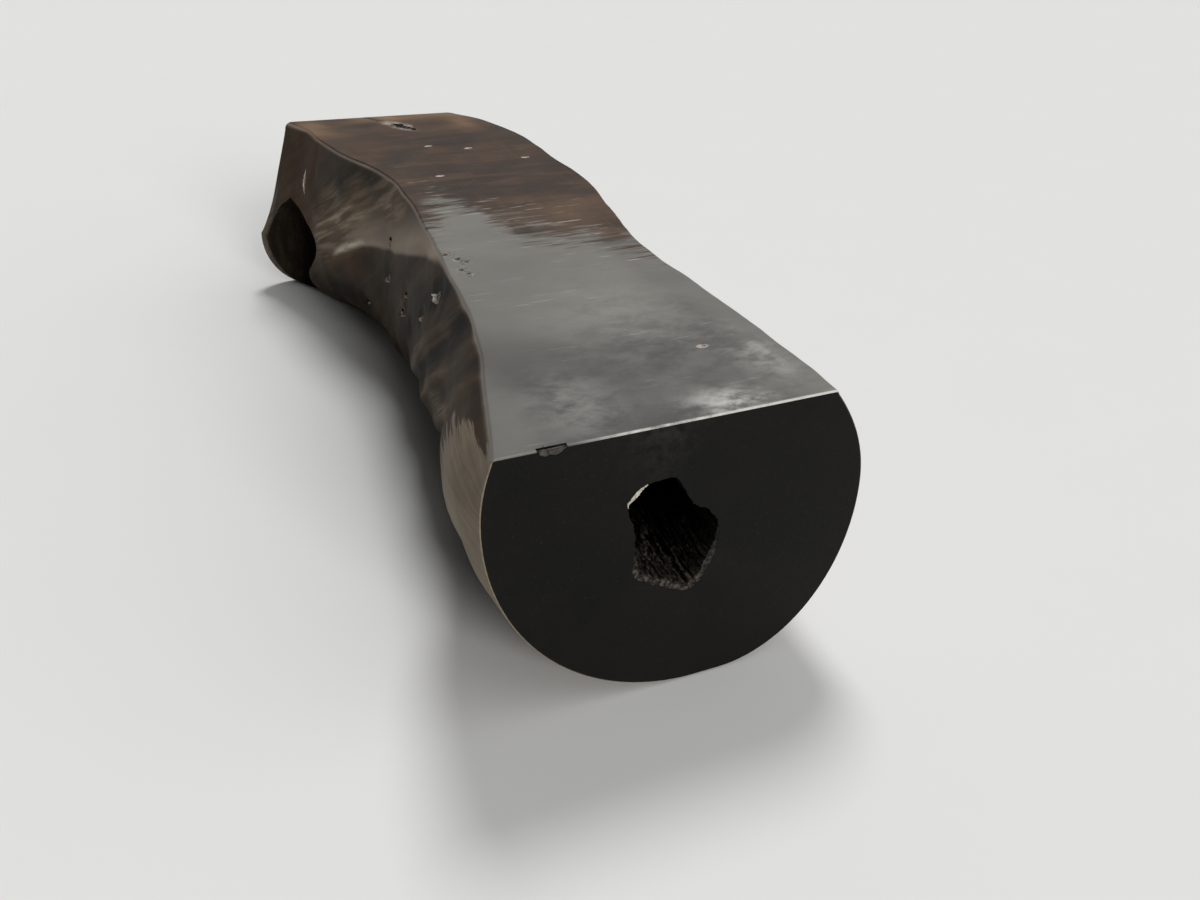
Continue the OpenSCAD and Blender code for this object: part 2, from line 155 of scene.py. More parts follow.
# The smooth skin, as in the part
def station(column, side, along):
    """A value of the stations on a smooth curve through them; the right side's column is the next."""
    along = np.asarray(along, float)
    s, v = STATIONS[:, 0], STATIONS[:, column + (side == RIGHT)]
    last = len(s) - 1
    before = np.maximum(np.arange(last + 1) - 1, 0)
    after = np.minimum(np.arange(last + 1) + 1, last)
    slopes = (v[after] - v[before]) / (s[after] - s[before])
    i = np.clip(np.searchsorted(s, along, side="right") - 1, 0, last - 1)
    step = s[i + 1] - s[i]
    p = (along - s[i]) / step
    return (v[i] * (1 + 2 * p) * (1 - p) ** 2 + v[i + 1] * p * p * (3 - 2 * p)
            + step * slopes[i] * p * (1 - p) ** 2 + step * slopes[i + 1] * p * p * (p - 1))


def belly_edge(side, along):
    return NEAR_W * station(BELLY_EDGE, side, along)


def widest_z(side, along):
    return SEAT_H * station(WIDEST_HEIGHT, side, along)


def bow(side, along):
    if side == LEFT:
        return mix(2.1, 0.86, eased((along - 0.55) / 0.45))
    return mix(2.1, 1.8, along)


def wave(side, along, up):
    """Slow waves, which die away towards the near end and the seat."""
    waves = sum(share * np.sin(np.radians(360 * (by_length * along + by_height * up) + lead * side))
                for share, by_length, by_height, lead in WAVES)
    return WAVE_DEPTH * eased(12 * along) * (1 - 0.8 * up ** 3) * waves


def side_x(side, along, z):
    level, out = widest_z(side, along), NEAR_W * station(WIDEST, side, along)
    above = np.clip((z - level) / (SEAT_H - level), 0, 1)
    below = np.clip((level - z) / (level - PROUD), 0, 1)
    upper = mix(out, NEAR_W * station(SEAT_EDGE, side, along), above ** bow(side, along))
    lower = mix(belly_edge(side, along), out, np.sqrt(np.maximum(0, 1 - below * below)))
    return np.where(z >= level, upper, lower) + side * wave(side, along, z / SEAT_H)


def place_y(along, x):
    return along * (LOG_L - FAR_SLANT * x / NEAR_W)


def furthest_left():
    """The left side's reach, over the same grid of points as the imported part's skin."""
    along = np.linspace(0, 1, 57)[:, None]
    level = widest_z(LEFT, along)
    upper = mix(SEAT_H - EDGE_ROUND, level, np.arange(6) / 6)
    lower = level - (level - PROUD) * np.sin(np.pi * np.arange(10) / 18)
    return min(float(side_x(LEFT, along, z).min()) for z in (upper, lower))


# The near upper left corner in the frame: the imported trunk's box starts at its left reach
LEFT_REACH = furthest_left()
TRUNK_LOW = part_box("trunk")[0]
CORNER = Vector((TRUNK_LOW.x - LEFT_REACH, TRUNK_LOW.y, 0.0))


def at(x, y, z):
    return Vector((x + CORNER.x, y + CORNER.y, z))


def seat_point(along, across):
    x = across * NEAR_W
    return at(x, place_y(along, x), SEAT_H)


def left_frame(along, z):
    """The point on the left side's skin and the direction straight out of it."""
    d, dz = 0.002, 0.002 * SEAT_H
    x = side_x(LEFT, along, z)
    by_y = (side_x(LEFT, along + d, z) - side_x(LEFT, along - d, z)) / (2 * d * LOG_L)
    by_z = (side_x(LEFT, along, z + dz) - side_x(LEFT, along, z - dz)) / (2 * dz)
    return at(x, place_y(along, x), z), Vector((-1, by_y, by_z)).normalized()


# Mesh helpers
@contextlib.contextmanager
def editing(mesh):
    """A mesh's faces, edges and points to work on, written back at the end."""
    bm = bmesh.new()
    bm.from_mesh(mesh)
    yield bm
    bm.to_mesh(mesh)
    bm.free()


def link_object(name, data):
    obj = bpy.data.objects.new(name, data)
    bpy.context.scene.collection.objects.link(obj)
    return obj


def make_object(name, verts, faces):
    mesh = bpy.data.meshes.new(name)
    mesh.from_pydata([tuple(v) for v in verts], [], faces)
    mesh.polygons.foreach_set("use_smooth", [True] * len(mesh.polygons))
    mesh.update()
    return link_object(name, mesh)


def loft(name, rings, rungs=False):
    """A closed skin through rings of equal length, whose ends are fans or rungs across the ring."""
    n, last = len(rings[0]), len(rings) - 1
    verts = [v for ring in rings for v in ring]
    faces = [(i * n + j, i * n + (j + 1) % n, (i + 1) * n + (j + 1) % n, (i + 1) * n + j)
             for i in range(last) for j in range(n)]
    for ring, start in ((rings[0], 0), (rings[last], last * n)):
        if rungs:
            faces += [(start + j, start + j + 1, start + n - 2 - j, start + n - 1 - j)
                      for j in range(n // 2 - 1)]
        else:
            hub = len(verts)
            verts.append(np.mean([tuple(v) for v in ring], axis=0))
            faces += [(hub, start + j, start + (j + 1) % n) for j in range(n)]
    obj = make_object(name, verts, faces)
    # the faces were listed without regard to their side: turn them all outwards
    with editing(obj.data) as bm:
        bmesh.ops.recalc_face_normals(bm, faces=bm.faces)
    return obj


def turned(name, profile, place, axis, around, rough=0.0):
    """A solid of revolution: profile is (radius, height) from one pole to the other."""
    up = axis.normalized()
    side = up.orthogonal().normalized()
    ahead = up.cross(side)
    rings = []
    for r, h in profile:
        ring = []
        for j in range(around):
            a = 2 * math.pi * j / around
            grow = 1 + rough * fbm(3 * math.cos(a) + place.x * 40, 3 * math.sin(a) + place.y * 40, h * 150)
            ring.append(place + up * h + (side * math.cos(a) + ahead * math.sin(a)) * r * grow)
        rings.append(ring)
    return loft(name, rings)


def cut(target, cutter, wall):
    """Cut a solid out of another; the cut faces get the wall's material."""
    cutter.data.materials.append(wall)
    mod = target.modifiers.new("cut", "BOOLEAN")
    mod.operation = "DIFFERENCE"
    mod.solver = "MANIFOLD"
    mod.object = cutter
    mod.material_mode = "TRANSFER"
    graph = bpy.context.evaluated_depsgraph_get()
    mesh = bpy.data.meshes.new_from_object(target.evaluated_get(graph))
    target.modifiers.remove(mod)
    old = target.data
    target.data = mesh
    bpy.data.meshes.remove(old)
    bpy.data.objects.remove(cutter)


def sharp_by_angle(obj, degrees):
    """Smooth faces, with sharp edges where they meet at more than an angle."""
    with editing(obj.data) as bm:
        for face in bm.faces:
            face.smooth = True
        for edge in bm.edges:
            edge.smooth = len(edge.link_faces) != 2 or edge.calc_face_angle(0.0) < math.radians(degrees)


def join_parts(name, parts):
    """One object from several closed lofts."""
    mesh = bpy.data.meshes.new(name)
    with editing(mesh) as bm:
        for part in parts:
            bm.from_mesh(part.data)
            bpy.data.objects.remove(part)
    return link_object(name, mesh)


def stand_in(obj, node, slot, *looks):
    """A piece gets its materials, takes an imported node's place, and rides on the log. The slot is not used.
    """
    for look in looks:
        obj.data.materials.append(look)
    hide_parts(node)
    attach(obj, "root")


# The trunk's relief
def shoulder_line(along):
    """The height share of the crest under the painted grey reflection band on the live left side."""
    return np.interp(along, [0.30, 0.371, 0.432, 0.587, 0.727, 0.788, 0.85],
                     [1.10, 0.98, 0.926, 0.727, 0.575, 0.45, 0.30])


def ray_at(along, up):
    """The direction and the distance from the point that the pale strokes fan out from."""
    dz, dy = up * SEAT_H - RAY_FROM[1], (RAY_FROM[0] - along) * LOG_L
    return np.arctan2(dz, dy), np.hypot(dz, dy)


def flute_height(along, up, bend):
    slant = along + FLUTE_SLANT * up + bend
    flutes = sum(height * hump(slant, place, width) for place, width, height in FLUTES)
    return window(along, 0.07, 0.06, 0.60, 0.10) * flutes


def knot_relief(along, up):
    """A dent with a swollen collar round each knot."""
    relief = 0.0
    for at_along, at_up, size in KNOTS:
        r = math.hypot((along - at_along) * LOG_L, (up - at_up) * SEAT_H) / (size * KNOT_D)
        if r < 4:
            relief += size * (KNOT_COLLAR * hump(r, 2.0, 0.6) - KNOT_DENT * hump(r, 0.0, 1.3))
    return relief


def left_relief(along, up, swell, grain):
    """Flutes and strokes, the crest with its foot, a boss, a crease, the arch's lip and the knots."""
    off = up - shoulder_line(along)
    angle, _ = ray_at(along, up)
    fan = window(along, 0.54, 0.10, 0.88, 0.04) * eased(off / 0.08) * hump(angle, RAY_ANGLE, 0.11)
    crest = window(along, 0.36, 0.06, 0.84, 0.06)
    crease = hump(along - 0.030 * (1 - up), 0.884, 0.008) * eased((up - 0.72) / 0.12)
    from_arch = math.hypot((along - 0.925) * LOG_L, (up - 0.32) * SEAT_H * 0.9)
    return (flute_height(along, up, 0.012 * swell) + knot_relief(along, up)
            + STROKES * fan * math.sin(angle * 90 + 5.0 * swell + 0.8 * grain)
            + crest * (CREST * hump(off, 0.03, 0.055) - CREST_FOOT * hump(off, -0.10, 0.09))
            + BOSS * blob(along, up, 0.66, 0.33, 0.10, 0.10) - CREASE * crease
            + ARCH_LIP * hump(from_arch, 0.155, 0.022))


def right_relief(along, up, swell, grain):
    """Even, slanting ripples, with fine ones on them."""
    ripples = (along + 0.25 * up) * 16 + 1.2 * swell
    return (RIPPLE * math.cos(2 * math.pi * ripples) * eased(along / 0.15)
            + FINE_RIPPLE * math.cos(2 * math.pi * (3.1 * ripples + 0.3 * grain)))


def side_relief(side, along, up):
    """How far the live surface stands out of the smooth skin, in metres."""
    swell = fbm(along * 5, up * 2, 3.1 + side, 2)
    grain = fbm((along + 0.25 * up) * 34, up * 4, 7.7 + side, 3)
    forms = (left_relief if side == LEFT else right_relief)(along, up, swell, grain)
    fade = window(up, 0.0, 0.06, 1.0, 0.05) * window(along, 0.0, 0.02, 1.0, 0.02)
    return (SWELL * swell + GRAIN * grain + forms) * fade


def side_outline(side, along):
    """One side of a section, from the seat's edge down to the belly, as (x, z)."""
    edge = EDGE_ROUND
    if side == LEFT:
        edge *= 1 + 2.2 * eased((along - 0.90) / 0.10)
    shoulder, level = SEAT_H - edge, widest_z(side, along)
    wobble = side * 0.0018 * fbm(along * 16, side * 3.0, 5.0) * eased(along / 0.04)
    top = side_x(side, along, shoulder)
    points = []
    for turn in np.radians(90 - 90 * np.arange(EDGE_STEPS) / EDGE_STEPS):
        points.append((top - side * edge * (1 - np.cos(turn)) + wobble, shoulder + edge * np.sin(turn)))
    upper, lower = UPPER_STEPS[side], LOWER_STEPS[side]
    zs = np.concatenate([
        mix(shoulder, level, np.arange(upper) / upper),
        level - (level - PROUD) * np.sin(np.pi / 2 * np.arange(lower + 1) / lower)])
    for x, z in zip(side_x(side, along, zs), zs):
        grow = side * side_relief(side, along, z / SEAT_H) if z > PROUD + 0.001 else 0.0
        points.append((x + grow + wobble * eased((z - PROUD) / 0.05), z))
    return points


def section(along, shrink):
    """One ring of the skin: down the left side, across the belly, up the right side and back."""
    left, right = side_outline(LEFT, along), side_outline(RIGHT, along)
    belly = [(mix(left[-1][0], right[-1][0], i / BELLY_STEPS), PROUD) for i in range(1, BELLY_STEPS)]
    seat = [(mix(right[0][0], left[0][0], i / SEAT_STEPS), SEAT_H) for i in range(1, SEAT_STEPS)]
    ring = np.array(left + belly + right[::-1] + seat)
    if shrink:
        tangent = np.roll(ring, -1, axis=0) - np.roll(ring, 1, axis=0)
        outward = np.stack([tangent[:, 1], -tangent[:, 0]], axis=1)
        ring = ring - shrink * outward / np.linalg.norm(tangent, axis=1)[:, None]
    return ring


def skin_ring(along, y_shift=0.0, shrink=0.0):
    return [at(x, place_y(along, x) + y_shift, z) for x, z in section(along, shrink)]


def build_skin(count):
    """The log without its hollows, with a small round arris at both sawn ends."""
    arris = [(ARRIS * (1 - math.cos(t)), ARRIS * (1 - math.sin(t)))
             for t in (math.radians(90 * i / 5) for i in range(5))]
    rings = [skin_ring(0.0, y, s) for y, s in arris]
    rings.append(skin_ring(0.0, ARRIS))
    rings += [skin_ring(i / count) for i in range(1, count)]
    rings.append(skin_ring(1.0, -ARRIS))
    rings += [skin_ring(1.0, -y, s) for y, s in reversed(arris)]
    return loft("trunk_wood", rings)


# The heart hollow, as in the part but finer and rougher
def wall_radius(place, deep):
    """The hollow's radius at a place round the mouth, 0 to 24, and at a share of its depth."""
    size = (1 + 0.12 * math.sin(math.pi * min(1, 2.5 * deep))) * math.sqrt(1 - 0.86 * min(deep, 1) ** 4)
    i = math.floor(place)
    share = mix(MOUTH[i % len(MOUTH)], MOUTH[(i + 1) % len(MOUTH)], place - i)
    return MOUTH_H * size * mix(share, 0.42, 0.7 * eased(3 * deep))


def hollow_point(place, depth, inward):
    deep = depth / HOLLOW_DEPTH
    middle_x, middle_z = MOUTH_X + 0.35 * MOUTH_H * eased(deep), MOUTH_Z - 0.12 * MOUTH_H * deep
    r, a = wall_radius(place, deep) - inward, math.radians(MOUTH_STEP * place)
    return middle_x + r * math.cos(a), depth, middle_z + r * math.sin(a)


def hollow_rough(place, depth):
    a = math.radians(MOUTH_STEP * place)
    u, v = math.cos(a), math.sin(a)
    return 0.0030 * fbm(u * 2.6, v * 2.6, depth * 16) + 0.0016 * fbm(u * 9 + 4, v * 9, depth * 60)


def build_heart_cutter():
    around, steps, overshoot = 120, 80, 0.02
    rings = []
    for y in [-overshoot, 0.0] + [HOLLOW_DEPTH * (i / steps) ** 1.25 for i in range(1, steps + 1)]:
        depth = max(y, 0.0)
        ring = []
        for j in range(around):
            place = len(MOUTH) * j / around
            x, _, z = hollow_point(place, depth, hollow_rough(place, depth))
            ring.append(at(x, y, z))
        rings.append(ring)
    return loft("heart_cutter", rings)


# The flare's hollow behind the arch
def arch_outline():
    """The arch round its middle, in shares of its width and height, with softened corners."""
    ring = np.array([(-near, up - 0.5) for up, near, _ in ARCH]
                    + [(far, up - 0.5) for up, _, far in reversed(ARCH)])
    shares = np.arange(5)[None, :, None] / 5
    fine = mix(ring[:, None], np.roll(ring, -1, axis=0)[:, None], shares).reshape(-1, 2)
    for _ in range(2):
        fine = (np.roll(fine, 1, axis=0) + 2 * fine + np.roll(fine, -1, axis=0)) / 4
    return fine


def build_arch_cutter():
    outline, middle_z, outside = arch_outline(), ARCH_SILL + ARCH_H / 2, LEFT_REACH - 0.03
    stops = [(outside, 1.0, 0.0)]
    stops += [(HOLLOW_START * NEAR_W + deep * ARCH_DEPTH, size, moved) for deep, size, moved in FLARE]
    slices = []
    for a, b in zip(stops, stops[1:]):
        steps = 16 if a is stops[0] else 8
        slices += [[mix(a[k], b[k], t / steps) for k in range(3)] for t in range(steps)]
    rings = []
    for x, size, moved in slices + [stops[-1]]:
        middle_y = LOG_L - FAR_WALL - (0.5 + moved) * ARCH_W
        ring = []
        for u, v in outline:
            rough = size * (1 + 0.022 * fbm(u * 6, v * 6, x * 22) + 0.012 * fbm(u * 22, v * 22, x * 60))
            ring.append(at(x, middle_y + ARCH_W * u * rough, middle_z + ARCH_H * v * rough))
        rings.append(ring)
    return loft("arch_cutter", rings)


# Where the knots, the pins, the crack, the chip and the glides sit
def knot_places():
    return [(left_frame(along, up * SEAT_H), size * KNOT_D / 2) for along, up, size in KNOTS]


def pin_places():
    return [(seat_point(along, across), size * PIN_D / 2) for along, across, size in PINS]


def crack_ring(inset, steps, height):
    """The ragged crack's outline, at a height over the seat."""
    ring = []
    for i in range(steps):
        a = 2 * math.pi * i / steps
        ragged = 1 + 1.1 * fbm(4 * math.cos(a), 4 * math.sin(a), 2.0)
        w = (CRACK_W / 2 - inset) * math.sin(a) * abs(math.sin(a)) * (1 + 0.25 * math.sin(3 * a)) * ragged
        ring.append(crack_point(w, (CRACK_L / 2 - inset) * math.cos(a), height))
    return ring


def crack_point(w, l, height):
    x = CRACK_ACROSS * NEAR_W
    c, s = math.cos(math.radians(CRACK_TURN)), math.sin(math.radians(CRACK_TURN))
    return at(x + w * c - l * s, place_y(CRACK_ALONG, x) + w * s + l * c, SEAT_H + height)


def chip_point(u, y, height):
    return at(CHIP_ACROSS * NEAR_W + u, y, SEAT_H + height)


def chip_ring(inset, y, top):
    """The chip's outline, closed by a straight line at a height over the seat."""
    lower = [(u * (CHIP_L - 2 * inset), -v * (CHIP_DEPTH - inset)) for u, v in CHIP]
    return [chip_point(u, y, v) for u, v in lower + [(lower[-1][0], top), (lower[0][0], top)]]


def glide_places():
    places = []
    for along in GLIDE_STATIONS:
        for side in (LEFT, RIGHT):
            x = belly_edge(side, along) - side * GLIDE_INSET * GLIDE_D
            places.append(at(x, place_y(along, x), 0.0))
    return places


# Materials: node helpers
class Nodes:
    """Short calls for building the node tree of a material or of the world."""

    def __init__(self, owner):
        owner.use_nodes = True
        self.owner, self.tree = owner, owner.node_tree
        self.shader = self.tree.nodes.get("Principled BSDF")

    def add(self, kind, inputs=None, **props):
        node = self.tree.nodes.new(kind)
        for key, value in props.items():
            setattr(node, key, value)
        for key, value in (inputs or {}).items():
            self.put(node.inputs[key], value)
        return node

    def put(self, socket, value):
        if isinstance(value, bpy.types.NodeSocket):
            self.tree.links.new(value, socket)
        else:
            socket.default_value = value

    def field(self, name, output="Fac"):
        return self.add("ShaderNodeAttribute", attribute_name=name).outputs[output]

    def point(self):
        return self.add("ShaderNodeTexCoord").outputs["Object"]

    def place(self, scale, turn=(0, 0, 0), source=None):
        inputs = {"Vector": source or self.point(), "Scale": scale, "Rotation": turn}
        return self.add("ShaderNodeMapping", inputs).outputs[0]

    def axes(self, vector=None):
        return self.add("ShaderNodeSeparateXYZ", {0: vector or self.point()}).outputs

    def vector(self, operation, a, b=(0, 0, 0), output="Vector"):
        return self.add("ShaderNodeVectorMath", {0: a, 1: b}, operation=operation).outputs[output]

    def from_spot(self, spot, turn=None):
        """The way from a spot to the shaded point, turned about the upright axis."""
        way = self.vector("SUBTRACT", self.point(), tuple(spot))
        if turn is None:
            return way
        return self.add("ShaderNodeVectorRotate", {"Vector": way, "Angle": turn},
                        rotation_type="Z_AXIS").outputs[0]

    def reach(self, way, wide, long):
        """The length of a way over the seat, 1 at the given reach across and along."""
        return self.vector("LENGTH", self.vector("MULTIPLY", way, (1 / wide, 1 / long, 0.0)), output="Value")

    def noise(self, scale, detail, rough, distort=0.0, turn=(0, 0, 0), source=None):
        """A noise of one scale, or of three for streaks that run one way."""
        stretched = isinstance(scale, tuple)
        inputs = {"Vector": self.place(scale if stretched else (1, 1, 1), turn, source),
                  "Scale": 1.0 if stretched else scale,
                  "Detail": detail, "Roughness": rough, "Distortion": distort}
        return self.add("ShaderNodeTexNoise", inputs).outputs["Fac"]

    def band(self, value, low, high, out_low=0.0, out_high=1.0):
        return self.add("ShaderNodeMapRange", {0: value, 1: low, 2: high, 3: out_low, 4: out_high},
                        interpolation_type="SMOOTHSTEP").outputs[0]

    def math(self, operation, a, b=0.0):
        return self.add("ShaderNodeMath", {0: a, 1: b}, operation=operation).outputs[0]

    def times(self, a, b):
        return self.math("MULTIPLY", a, b)

    def plus(self, a, b):
        return self.math("ADD", a, b)

    def minus(self, a, b):
        return self.math("SUBTRACT", a, b)

    def most(self, a, b):
        return self.math("MAXIMUM", a, b)

    def frayed(self, value, wander, amount):
        """A value moved up and down by a noise round one half."""
        return self.plus(value, self.times(self.minus(wander, 0.5), amount))

    def between(self, factor, a, b):
        return self.add("ShaderNodeMix", {0: factor, 2: a, 3: b}, data_type="FLOAT").outputs[0]

    def blend(self, factor, a, b):
        return self.add("ShaderNodeMix", {0: factor, 6: a, 7: b}, data_type="RGBA").outputs[2]

    def layers(self, colour, coats):
        """A colour under coats of other colours, each with its amount."""
        for amount, coat in coats:
            colour = self.blend(amount, colour, coat)
        return colour

    def bump(self, height, strength, distance, normal=None):
        node = self.add("ShaderNodeBump", {"Height": height, "Strength": strength, "Distance": distance})
        if normal is not None:
            self.put(node.inputs["Normal"], normal)
        return node.outputs[0]

    def finish(self, colour, roughness, normal=None, specular=0.5):
        self.put(self.shader.inputs["Base Color"], colour)
        self.put(self.shader.inputs["Roughness"], roughness)
        self.shader.inputs["Specular IOR Level"].default_value = specular
        if normal is not None:
            self.put(self.shader.inputs["Normal"], normal)
        return self.owner


def material(name):
    return Nodes(bpy.data.materials.new(name))


def rgb(r, g, b):
    """A colour written as it shows on a screen, 0 to 255."""
    return tuple((c / 255 / 12.92 if c / 255 <= 0.04045 else ((c / 255 + 0.055) / 1.055) ** 2.4)
                 for c in (r, g, b)) + (1.0,)


# Dark oiled wood
def side_colour(m, cloud, long_fibre, fine_fibre):
    """The live side, with the left side's flutes and their painted shade and highlights, the painted grey
    reflection band, the fan of strokes, painted highlights on a crest and along the seat's edge, and the pale
    painted sheen of the near wood.
    """
    broad = m.noise((26, 3, 1), 3.0, 0.5, 0.3, source=m.field("fibre", "Vector"))
    strokes = m.noise((150, 7, 1), 4.0, 0.55, 0.25, source=m.field("rays", "Vector"))
    colour = m.layers(m.blend(m.band(cloud, 0.40, 0.62), rgb(56, 47, 38), rgb(80, 67, 54)), [
        # broad dark streaks along the fibres, stronger over the flutes, where they are partly painted shade
        (m.times(m.band(broad, 0.56, 0.42), m.field("flute")), rgb(25, 20, 16)),
        (m.times(m.band(long_fibre, 0.52, 0.76), 0.22), rgb(104, 88, 72)),
        (m.times(m.band(fine_fibre, 0.54, 0.78), 0.26), rgb(24, 18, 14)),
        (m.times(m.field("warm"), 0.75), rgb(80, 56, 38)),
        # painted shade in the flutes' hollows, with dark patches
        (m.times(m.field("dark"), 0.90), rgb(30, 26, 22)),
        # painted highlights on the left side's flute tops and other lit places; soft pale clouds on the right
        # side
        (m.times(m.field("wear_and_highlight"), m.band(long_fibre, 0.36, 0.60, 0.20, 0.80)), rgb(132, 117, 99)),
        # painted grey reflection band under the seat's edge
        (m.times(m.field("reflection_band"), 0.92), rgb(162, 150, 135)),
        (m.times(m.field("fan"), 0.60), rgb(112, 98, 83)),
        (m.times(m.band(strokes, 0.40, 0.68), m.field("fan")), rgb(158, 142, 123)),
        # painted highlight on the crest where the grey band starts
        (m.times(m.field("ridge"), m.band(strokes, 0.34, 0.5, 0.3, 0.9)), rgb(206, 197, 182)),
        # painted highlight along the seat's edge
        (m.times(m.field("rim"), m.band(cloud, 0.35, 0.6, 0.7, 1.0)), rgb(168, 157, 145))])
    # pale painted sheen where the near wood turns to the light, with a jagged edge
    pale_wood = m.blend(m.band(long_fibre, 0.3, 0.7), rgb(118, 106, 90), rgb(136, 123, 106))
    jagged = m.frayed(m.frayed(m.field("pale"), long_fibre, 1.1), fine_fibre, 0.35)
    return m.blend(m.band(jagged, 0.42, 0.56), colour, pale_wood)


def brown_seat(m, pool, sweep, grain, streak):
    """The far half of the seat: dark and warm."""
    return m.layers(m.blend(m.band(pool, 0.38, 0.64), rgb(42, 27, 16), rgb(66, 46, 29)), [
        (m.times(m.band(sweep, 0.48, 0.66), 0.55), rgb(86, 62, 42)),
        (m.times(m.band(sweep, 0.46, 0.34), 0.50), rgb(26, 17, 11)),
        (m.times(m.band(grain, 0.52, 0.74), 0.30), rgb(82, 58, 39)),
        (m.times(m.band(streak, 0.56, 0.72), 0.35), rgb(34, 24, 18)),
        (m.field("tan"), rgb(150, 118, 86))])


def near_seat_reflection(m, pool, smear):
    """The near half of the seat: a grey painted reflection, brighter in the middle and at the edges, with
    pale streaks.
    """
    return m.layers(m.blend(m.band(pool, 0.35, 0.65), rgb(79, 78, 76), rgb(94, 93, 90)), [
        # a brighter painted reflection in the middle and along the edges
        (m.times(m.field("brighter_reflection"), m.band(pool, 0.30, 0.60, 0.70, 0.90)), rgb(121, 119, 113)),
        (m.times(m.band(smear, 0.50, 0.74), 0.16), rgb(128, 127, 122))])


def seat_colour(m, grain, streak):
    """The seat's colour and roughness, with its painted reflection and painted glints, its scuffs with a
    painted highlight, scratches, the marks round its pieces and a painted highlight on the near arris.
    """
    painted_reflection = m.field("painted_reflection")
    pool = m.noise(5.5, 4.0, 0.5, 0.3)
    sweep = m.noise((6, 26, 1), 5.0, 0.6, 0.6, (0, 0, 0.15))
    smear = m.noise((5, 14, 1), 4.0, 0.5, 0.4, (0, 0, 0.5))
    ripple = m.noise((9, 75, 1), 4.0, 0.6, 0.5, (0, 0, 0.12))
    # a noise for wear and for breaking up the painted highlights
    wear_and_highlight = m.noise((16, 22, 1), 7.0, 0.72, 0.2, (0, 0, 0.8))
    glint_dash = m.noise((14, 170, 1), 2.0, 0.5, 0.0, (0, 0, 0.08))
    fine = m.noise((10, 320, 1), 2.0, 0.5, 0.0, (0, 0, 0.75))

    near_border = m.band(m.math("ABSOLUTE", m.minus(painted_reflection, 0.35)), 0.15, 0.75, 0.75, 0.0)
    scratches = m.times(m.times(m.band(fine, 0.68, 0.73), m.band(smear, 0.46, 0.60)),
                        m.band(painted_reflection, 0.7, 1.2, 0.0, 0.45))
    split, split_halo = crack_marks(m, streak, wear_and_highlight)
    pin_halos, specks, motes = pin_marks(m, wear_and_highlight)
    # the border of the painted reflection on the near half, frayed by ripples and sweeps
    border = m.frayed(m.frayed(painted_reflection, ripple, 1.7), sweep, 0.5)
    half_and_half = m.blend(m.band(border, 0.30, 0.70), brown_seat(m, pool, sweep, grain, streak),
                            near_seat_reflection(m, pool, smear))
    colour = m.layers(half_and_half, [
        # painted glints: pale dashes near the painted reflection's border
        (m.times(m.band(glint_dash, 0.66, 0.72), near_border), rgb(182, 176, 168)),
        # scuffs with a painted highlight at the near end
        (m.times(m.band(wear_and_highlight, 0.34, 0.64), m.field("scuff_and_highlight")), rgb(204, 203, 197)),
        (m.times(split, 0.85), rgb(20, 15, 12)),
        (scratches, rgb(196, 195, 189)),
        (m.most(split_halo, pin_halos), rgb(192, 181, 166)),
        (specks, rgb(46, 42, 37)),
        (motes, rgb(176, 171, 162)),
        # painted highlight on the near arris
        (m.times(arris_highlight(m), m.band(wear_and_highlight, 0.30, 0.55)), rgb(188, 187, 181))])
    return colour, m.band(border, 0.3, 0.7, 0.28, 0.36)


def arris_highlight(m):
    """A pale painted highlight on the near arris, from a third of the way across to the right."""
    x, y, _ = m.axes()
    near = m.band(y, CORNER.y + 0.0020, CORNER.y + 0.0052, 1.0, 0.0)
    return m.times(near, m.band(x, CORNER.x + 0.20 * NEAR_W, CORNER.x + 0.42 * NEAR_W))


def crack_marks(m, wander, wear_and_highlight):
    """The dark line from the crack to the far end, and the pale, worn wood round the crack."""
    start = seat_point(0.935, 0.635)
    run = seat_point(0.998, 0.475) - start
    along, beside, _ = m.axes(m.from_spot(start, -math.atan2(run.y, run.x)))
    beside = m.math("ABSOLUTE", m.frayed(beside, wander, 0.014))
    inside = m.times(m.band(along, -0.01, 0.005), m.band(along, run.length, run.length + 0.01, 1.0, 0.0))
    line = m.times(m.band(beside, 0.0030, 0.0110, 1.0, 0.0), inside)
    way = m.from_spot(crack_point(0.0, 0.02, 0.0), -math.radians(CRACK_TURN))
    halo = m.band(m.reach(way, 0.034, 0.095), 0.45, 1.0, 1.0, 0.0)
    return line, m.times(halo, m.band(wear_and_highlight, 0.42, 0.56, 0.0, 0.7))


def nearest_reach(m, spots, wide, long):
    nearest = None
    for spot in spots:
        reach = m.reach(m.from_spot(spot), wide, long)
        nearest = reach if nearest is None else m.math("MINIMUM", nearest, reach)
    return nearest


def pin_marks(m, wear_and_highlight):
    """Worn wood round the light pins, and dark specks and pale motes round the dark ones and the chip."""
    spots = [seat_point(along, across) for along, across, _ in PINS]
    light = [spot for i, spot in enumerate(spots) if i not in DARK_PINS]
    halos = m.band(nearest_reach(m, light, 0.012, 0.008), 0.65, 1.0, 0.85, 0.0)
    near = m.band(nearest_reach(m, [spots[i] for i in DARK_PINS], 0.022, 0.026), 0.3, 1.0, 1.0, 0.0)
    chipped = m.band(m.reach(m.from_spot(chip_point(0.0, 0.003, 0.0)), 0.030, 0.010), 0.5, 1.0, 1.0, 0.0)
    ragged = m.noise((150, 110, 1), 3.0, 0.65, 0.6)
    specks = m.most(m.times(near, m.band(ragged, 0.57, 0.63)),
                    m.times(chipped, m.band(ragged, 0.50, 0.56, 0.0, 0.8)))
    motes = m.times(near, m.band(ragged, 0.40, 0.34, 0.0, 0.7))
    return m.times(halos, m.band(wear_and_highlight, 0.36, 0.50)), specks, motes


